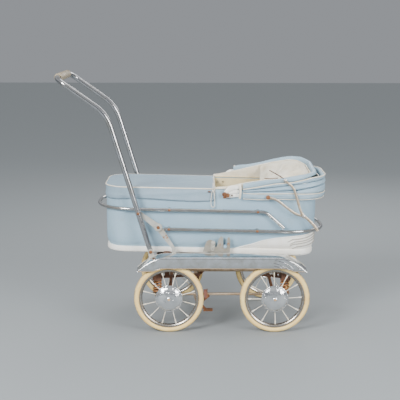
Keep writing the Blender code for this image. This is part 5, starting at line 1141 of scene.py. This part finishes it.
# %% Cord loop, its knot and its buckle
LOOP = ((0.003, -0.0004, -0.0015), (0.005, -0.001, -0.012), (0.0064, 0.0, -0.03), (0.0066, 0.0005, -0.048),
        (0.005, 0.0, -0.057), (0.0005, 0.0, -0.0592), (-0.0045, 0.0, -0.055), (-0.007, -0.0008, -0.042),
        (-0.0062, 0.0, -0.024), (-0.0044, 0.0006, -0.011), (-0.003, 0.0004, -0.0015))
SHORT_ENDS = ((0.0, -0.001, 0.002), (0.0006, 0.0, 0.02), (0.0003, 0.004, 0.03))
KNOT = ((0.0, -0.0036), (0.0026, -0.0034), (0.0042, -0.0018), (0.0045, 0.0), (0.0042, 0.0018),
        (0.0026, 0.0034), (0.0, 0.0036))
low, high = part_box("cord_loop")
knot = Vector(((low.x + high.x) / 2 - 0.001, (low.y + high.y) / 2, high.z - 0.005))
loop = smooth_line([knot + Vector(p) for p in LOOP], 8)
tie = rod("tie_loop", loop, 0.0014, "cot", CORD, "white_cord", ["cord_loop"], sides=10)
shape = carried(bmesh.new(), smooth_line([knot + Vector(p) for p in SHORT_ENDS], 8), 0.0015, sides=10)
spun(shape, KNOT, knot, axis=(1.0, 0.0, 0.25), steps=20)
finished("tie_knot", shape, "cot", CORD)
shape = block(bmesh.new(), knot + Vector((-0.0135, 0.001, -0.002)), (0.01, 0.003, 0.005))
add_bevel(finished("cord_buckle", shape, "cot", RUSTY_BROWN), 0.0009)
print("loop hangs", round(knot.z - low.z, 3))

# %% [markdown]
# ## Hood
# The hood is folded down in layers round the head end. Each layer is a long pillow of cloth that follows the
# steel bows in a U, so a ring of points is carried round that U, flattened and pushed about by noise. Two
# layers ride on the middle and front bows, and the other three stay fixed where they are drawn. Cream piping
# marks three fold lines, and a cream strap gathers the layers near the hinge.

# %% Fold lines
HINGE = (0.05, 0.217)
HOOD_HALF = 0.1535
BOW_ANGLES = {"hood_rear": 1.8, "hood_mid": 5.8, "hood_front": 9.8}
NEAR_LINES = {"bottom": ((0.05, 0.205), (0.11, 0.2025), (0.2, 0.206), (0.27, 0.206), (0.36, 0.2075)),
              "C": ((0.05, 0.227), (0.09, 0.224), (0.18, 0.2262), (0.23, 0.2285), (0.28, 0.2268),
                    (0.36, 0.226)),
              "C2": ((0.05, 0.23), (0.12, 0.2325), (0.2, 0.236), (0.25, 0.239), (0.29, 0.247), (0.36, 0.259)),
              "B": ((0.05, 0.235), (0.12, 0.2425), (0.2, 0.254), (0.256, 0.261), (0.3, 0.27), (0.36, 0.276)),
              "A": ((0.05, 0.2388), (0.105, 0.2482), (0.166, 0.2615), (0.234, 0.269), (0.275, 0.279),
                    (0.305, 0.2865), (0.36, 0.289)),
              "top": ((-0.05, 0.24), (-0.02, 0.2435), (0.04, 0.2575), (0.085, 0.2661), (0.139, 0.276),
                      (0.186, 0.2806), (0.228, 0.29), (0.259, 0.2955), (0.303, 0.299), (0.33, 0.303))}
FAR_LINES = {"A": ((0.03, 0.25), (0.1, 0.258), (0.2, 0.272), (0.3, 0.288), (0.36, 0.29)),
             "top": ((-0.03, 0.256), (0.02, 0.272), (0.045, 0.282), (0.088, 0.287), (0.135, 0.2964),
                     (0.175, 0.3077), (0.216, 0.3173), (0.256, 0.323), (0.29, 0.3234), (0.33, 0.312))}
LINING_NEAR = ((-0.05, 0.2395), (0.0, 0.244), (0.042, 0.255), (0.085, 0.2635), (0.139, 0.273), (0.186, 0.277),
               (0.228, 0.285), (0.259, 0.29), (0.31, 0.292))
LINING_FAR = ((-0.05, 0.241), (-0.009, 0.2486), (0.048, 0.2634), (0.088, 0.2739), (0.135, 0.286),
              (0.175, 0.2957), (0.209, 0.3032), (0.242, 0.3083), (0.276, 0.3075), (0.31, 0.296))


def bow_line(start, reach, half, corner, steps=20, far_start=None):
    """The U of a layer in plan, as (distance from the hinge, y), from the near end round to the far end."""
    around = arc((reach - corner, -(half - corner)), corner, -math.pi / 2, 0.0, steps)
    sides = []
    for begin in (start, start if far_start is None else far_start):
        sides.append([(begin + (reach - corner - begin) * k / 26, -half) for k in range(26)] + around
                     + [(reach, -(half - corner) * share) for share in (0.66, 0.33)])
    return sides[0] + [(reach, 0.0)] + [(x, -y) for x, y in reversed(sides[1])]


def near_to_far(near, far, y):
    """Between two heights: the far side of the folded hood stands a little higher than the near side."""
    return near + (far - near) * ease((y / HOOD_HALF + 1.0) / 2.0)


def level_at(name, out, y=-HOOD_HALF):
    """Height of a fold line."""
    near = NEAR_LINES[name]
    return near_to_far(read_curve(near, out), read_curve(FAR_LINES.get(name, near), out), y)


def lining_edge(out, y):
    """Height of the lining's upper edge."""
    return near_to_far(read_curve(LINING_NEAR, out), read_curve(LINING_FAR, out), y)


def plan_places(plan):
    """Each place of a line in plan, with the direction that points out of the hood there."""
    places = []
    for i, (out, y) in enumerate(plan):
        after, before = plan[min(len(plan) - 1, i + 1)], plan[max(0, i - 1)]
        along = Vector((after[0] - before[0], after[1] - before[1])).normalized()
        places.append((out, y, Vector((along.y, -along.x))))
    return places


LOWER_PLAN = bow_line(0.055, 0.353, HOOD_HALF, 0.096)
TOP_PLAN = bow_line(0.055, 0.318, HOOD_HALF - 0.001, 0.084, far_start=0.03)
print("fold lines:", len(NEAR_LINES))


# %% Layers of folded cloth
def pillow(count, squarish):
    """Places round a soft box section, as (sideways, upward) pairs between -1 and 1."""
    turns = [2 * math.pi * k / count for k in range(count)]
    return [tuple(math.copysign(abs(v) ** squarish, v) for v in (math.cos(a), math.sin(a))) for a in turns]


def beside(out, y, away, push, z):
    """A place on the hood at a height, pushed out from its line in plan."""
    return cot(HINGE[0] + out + away.x * push, y + away.y * push, z)


def puffed_layer(name, low_name, high_name, plan, body, stands_for=(), inner=0.0085, outer=0.0085, seed=0.0,
                 squarish=0.62, wrinkle=0.0024, lean=0.0):
    """A soft closed band between two of the fold lines."""
    sink = 0.0006
    rows = []
    for out, y, away in plan_places(plan):
        low = level_at(low_name, out, y) + sink
        high = level_at(high_name, out, y) - sink
        run = math.copysign(out, y) * 9.0
        droop = 0.5 + 0.5 * swell(run * 0.45, seed + 2.0, 0.0)
        ring = []
        for side, lift in pillow(28, squarish):
            ripple = swell(run * 1.1, side * 1.2 + seed, lift * 1.6)
            ripple += 0.6 * swell(run * 3.1 + 7.0, side * 2.0 + seed, lift * 2.4)
            ripple += 0.35 * swell(run * 7.0 + lift * 3.0, seed, lift * 4.0)
            reach = outer + 0.003 * droop * math.cos(lift * 1.5) if side > 0 else inner
            push = side * reach + wrinkle * ripple * (1.0 if side > 0 else 0.7) + lean * lift
            z = (low + high) / 2 + (high - low) / 2 * lift + 0.4 * wrinkle * ripple * (1 - abs(lift))
            ring.append(beside(out, y, away, push, z))
        rows.append(ring)
    layer = skinned(name, rows, body, HOOD_CLOTH, "blue_fabric", stands_for, capped=True)
    return layer


def spread(piece):
    """Bakes a layer's place into its mesh."""
    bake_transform(piece)


skirt = puffed_layer("hood_skirt", "bottom", "C", LOWER_PLAN, None, ["hood_valance"], seed=3.0, outer=0.007,
                     lean=0.0022)
spread(skirt)
low_fold = puffed_layer("hood_low_fold", "C", "C2", LOWER_PLAN, None, ["hood_cloth_rear"], seed=11.0,
                        outer=0.0095)
spread(low_fold)
puffed_layer("hood_middle_fold", "C2", "B", LOWER_PLAN, "hood_mid", ["hood_cloth_mid"], seed=19.0,
             outer=0.009)
high_fold = puffed_layer("hood_high_fold", "B", "A", LOWER_PLAN, None, seed=23.0, outer=0.008, inner=0.006,
                         lean=0.0015)
spread(high_fold)
puffed_layer("hood_top_fold", "A", "top", TOP_PLAN, "hood_front", ["hood_cloth_front"], seed=27.0,
             inner=0.008, outer=0.0085, wrinkle=0.0018, squarish=0.75)
print("hood layers: 5")

# %% Piping on the folds
for line_name, body, out_by, wave, radius in (("A", "hood_front", 0.0082, 0.001, 0.0019),
                                              ("C", "hood_rear", 0.0088, 0.0016, 0.0018),
                                              ("bottom", "cot", 0.0062, 0.0008, 0.0012)):
    path = []
    for out, y, away in plan_places(LOWER_PLAN):
        ripple = wave * swell(math.copysign(out, y) * 14.0, 0.0, 1.0)
        path.append(beside(out, y, away, out_by, level_at(line_name, out, y) + ripple))
    rod("fold_piping_" + line_name.lower(), path, radius, body, PIPING, "blue_fabric", sides=10)
LINING_REACH, LINING_CORNER = 0.306, 0.076
LINING_PLAN = bow_line(-0.048, LINING_REACH, HOOD_HALF - 0.011, LINING_CORNER)
brim = []
for out, y in LINING_PLAN:
    ripple = 0.001 * swell(out * 16.0, y * 9.0, 2.0)
    brim.append(cot(HINGE[0] + out, y, lining_edge(out, y) + ripple + 0.0012))
rod("lining_piping", brim, 0.0017, "hood_front", PIPING, "blue_fabric", sides=10)
print("piping lines: 4")

# %% Gathering straps and fans
FAN_STRIPS = (("hood_rear", 0.2135, 0.214, 0.215), ("hood_mid", 0.22, 0.227, 0.23),
              ("hood_front", 0.226, 0.241, 0.246))
FAN_RIVET = ((0.0, 0.153), (0.003, 0.153), (0.003, 0.154), (0.0018, 0.1552), (0.0, 0.1556))
for label, side in SIDES:
    start = 0.042 if side < 0 else 0.034
    low, high = level_at("bottom", 0.055) + 0.001, level_at("top", start, side * HOOD_HALF) + 0.0012
    path = []
    for share in [k / 16 for k in range(17)]:
        bulge = 0.011 * math.sin(math.pi * min(0.97, max(0.03, 1 - share))) ** 0.35
        path.append(cot(HINGE[0] + start + 0.003 * share + 0.002 * math.sin(share * 4.0),
                        side * (HOOD_HALF + bulge), high + (low - high) * share))
    rod("gather_strap_" + label, path, 0.004, "hood_rear", PIPING, "blue_fabric", sides=14, flat=0.45,
        flat_along=ACROSS)
    lift = 0.01 if side > 0 else 0.0
    for k, (body, begin, peak, end) in enumerate(FAN_STRIPS):
        y = 0.1505 + 0.0042 * k
        path = smooth_line([cot(0.0445 - 0.002 * k, side * y, begin), cot(0.056, side * y, peak + lift / 2),
                            cot(0.072, side * y, (peak + end) / 2 + 0.002 + lift),
                            cot(0.09, side * (y - 0.001), end + lift)], 6)
        widths = [0.0058 + 0.0026 * math.sin(math.pi * i / (len(path) - 1)) for i in range(len(path))]
        rod("fan_strip_" + str(k) + "_" + label, path, widths, body, WHITE_PANEL, "bright_steel", sides=14,
            flat=0.22, flat_along=ACROSS)
    turned("fan_rivet_" + label, FAN_RIVET, cot(0.0655, 0.0, 0.2155), "hood_rear", RUSTY_BROWN,
           "rusty_steel", steps=20, side=side)
    bolt_head("hinge_bolt_" + label, cot(HINGE[0] - 0.012, 0.0, HINGE[1] + 0.003), 0.164, side, "cot", 0.007)
print("fans:", len(SIDES))


# %% Bows and braces
BRACE_STUD, BRACE_KNUCKLE = cot(0.2548, 0.0, 0.2776), cot(0.3272, 0.0, 0.1466)
BOW_STUD = ((0.0, 0.156), (0.0042, 0.156), (0.0042, 0.168), (0.0, 0.168))
UPPER_BEND = ((0.25, 0.28), (0.2565, 0.2745), (0.268, 0.266), (0.279, 0.257), (0.2885, 0.244),
              (0.295, 0.226), (0.305, 0.196), (0.316, 0.164), (0.3272, 0.149), (0.342, 0.137),
              (0.358, 0.122), (0.372, 0.106), (0.38, 0.094))
LOWER_BEND = ((0.1957, 0.2139), (0.212, 0.21), (0.23, 0.203), (0.252, 0.187), (0.276, 0.169),
              (0.301, 0.154), (0.3272, 0.1466))


def brace_bar(which, points, widths, layer, label, side):
    """A bent strip of metal that stays in one upright plane."""
    path = smooth_line([cot(x, side * layer, z) for x, z in points], 5)
    first, last = widths
    sizes = [first + (last - first) * i / (len(path) - 1) for i in range(len(path))]
    shape = carried(bmesh.new(), path, sizes, sides=16, flat=0.36, flat_along=ACROSS)
    finished("brace_" + which + "_bar_" + label, shape, which + "_brace_" + label, BRACE_METAL,
             ["brace_" + which + "_" + label])


for body, angle in BOW_ANGLES.items():
    slope = math.radians(angle)
    path = [cot(HINGE[0] + out * math.cos(slope), y, HINGE[1] + out * math.sin(slope))
            for out, y in bow_line(0.1, 0.345, 0.1515, 0.09)]
    shape = carried(bmesh.new(), path, 0.0034, sides=12)
    if body == "hood_front":
        for side in (-1, 1):
            spun(shape, BOW_STUD, BRACE_STUD, steps=20, side=side)
    finished(body + "_hoop", shape, body, BRIGHT_STEEL, [body + "_bow"])
for label, side in SIDES:
    upper = "upper_brace_" + label
    brace_bar("upper", UPPER_BEND, (0.004, 0.0052), 0.1704, label, side)
    brace_bar("lower", LOWER_BEND, (0.0044, 0.0044), 0.1676, label, side)
    bolt_head("brace_bolt_" + label, BRACE_STUD, 0.172, side, "hood_front", 0.0052, BRIGHT_STEEL)
    bolt_head("brace_foot_bolt_" + label, BRACE_FOOT, 0.169, side, "cot", 0.0062)
    bolt_head("brace_joint_bolt_" + label, BRACE_KNUCKLE, 0.1712, side, upper, 0.0058, BRIGHT_STEEL)
print("bows:", len(BOW_ANGLES))

# %% [markdown]
# ## Hood lining
# Inside the hood the cotton lining is bunched up in loose gathers. A thin band lines the layers,
# and the roof of the hood sags across the opening in a sheet whose folds run out from one spot.
# Both are drawn over rows of points, because every row can follow the edge above it.

# %% Lining band
LINING_FOOT = 0.2362
rows = []
for out, y, away in plan_places(LINING_PLAN):
    run = math.copysign(out, y) * 9.0
    high = lining_edge(out, y)
    low = LINING_FOOT + 0.3 * max(0.0, high - LINING_FOOT) * ease((out - 0.16) / 0.08)
    ring = []
    for side, lift in pillow(24, 0.7):
        gather = swell(run * 2.6, lift * 0.9, 5.0)
        gather += 0.5 * swell(run * 6.0 + lift * 2.0, 1.0, 9.0)
        push = side * 0.0026 + 0.002 * gather * (1.0 if side < 0 else 0.2)
        ring.append(beside(out, y, away, push, (low + high) / 2 + (high - low) / 2 * lift))
    rows.append(ring)
bunched = skinned("bunched_lining", rows, "hood_front", HOOD_LINING, "beige_lining", ["hood_lining"],
                  capped=True)
print("lining rings:", len(rows))

# %% Sagging roof
ROOF_START, ROOF_END = 0.132, 0.302
ROOF_CORNER = LINING_REACH - LINING_CORNER
FOLD_CENTRE = (0.165, -0.035)
rows = []
for i in range(56):
    out = ROOF_START + (ROOF_END - ROOF_START) * (i / 55) ** 0.9
    half = HOOD_HALF - 0.015
    if out > ROOF_CORNER:
        half = half - LINING_CORNER + math.sqrt(max(0.0, LINING_CORNER ** 2 - (out - ROOF_CORNER) ** 2))
    row = []
    for j in range(80):
        share = -1 + 2 * j / 79
        y = share * half
        edge = lining_edge(out, share * HOOD_HALF) - 0.0025
        angle = math.atan2(y - FOLD_CENTRE[1], out - FOLD_CENTRE[0])
        far_off = math.hypot(y - FOLD_CENTRE[1], out - FOLD_CENTRE[0])
        fold = swell(angle * 2.6, far_off * 8.0, 3.0)
        fold += 0.7 * swell(angle * 6.0, far_off * 12.0, 8.0)
        fold += 0.4 * abs(swell(angle * 9.0, far_off * 30.0, 15.0))
        inside = (1 - abs(share) ** 3) * min(1.0, (55 - i) / 6)
        sag = 0.017 * inside * (1 - 0.25 * share) - 0.013 * fold * inside * ease(far_off / 0.06)
        lip = 0.02 * (1 - ease(i / 7)) * (1 - share ** 6)
        shift = 0.004 * inside * (1 - ease(i / 12)) * math.sin(share * 5.0)
        row.append(cot(HINGE[0] + out - shift, y, edge - sag - lip))
    rows.append(row)
roof = skinned("sagging_roof", rows, "hood_rear", HOOD_LINING, "beige_lining", joined=False, turn_out=False)
thicken(roof, "cloth_thickness", 0.0016, -1.0)
print("roof faces:", len(roof.data.polygons))

# %% Rim binding, stay and painted hem shadow
shape = bmesh.new()
for side in (-1, 1):
    binding = []
    for x in [0.008 + 0.23 * k / 30 for k in range(31)]:
        sway = 0.0004 * swell(x * 40.0, side, 0.0)
        binding.append(cot(x, side * (0.1378 + sway), 0.2366))
    carried(shape, binding, 0.0048, sides=14, flat=0.34, flat_along=(0.0, 0.0, 1.0))
finished("rim_binding", shape, "cot", LINING)
# The second rod is a thin dark-brown line along the near hem of the lining: a painted shadow where the lining
# meets the near top edge.
STAY_AND_SHADOW_RODS = (("inner_stay", 0.0019, 6, ((0.206, -0.06, 0.296), (0.225, -0.1, 0.2905), (0.24, -0.135, 0.286),
                                    (0.25, -0.158, 0.2805))),
         ("hem_shadow_line", 0.0016, 8, ((0.182, -0.134, 0.277), (0.205, -0.135, 0.2775),
                                      (0.232, -0.135, 0.28))))
for name, radius, steps, points in STAY_AND_SHADOW_RODS:
    rod(name, smooth_line([cot(*p) for p in points], steps), radius, "hood_front", RUSTY_BROWN,
        "rusty_steel", sides=10)
print("stays:", len(STAY_AND_SHADOW_RODS))

# %% Print the sizes and finish
corners = {"cad": [[round(v, 5) for v in corner] for corner in cad_box],
           "visual": [[round(v, 5) for v in corner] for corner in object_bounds()]}
print(corners)
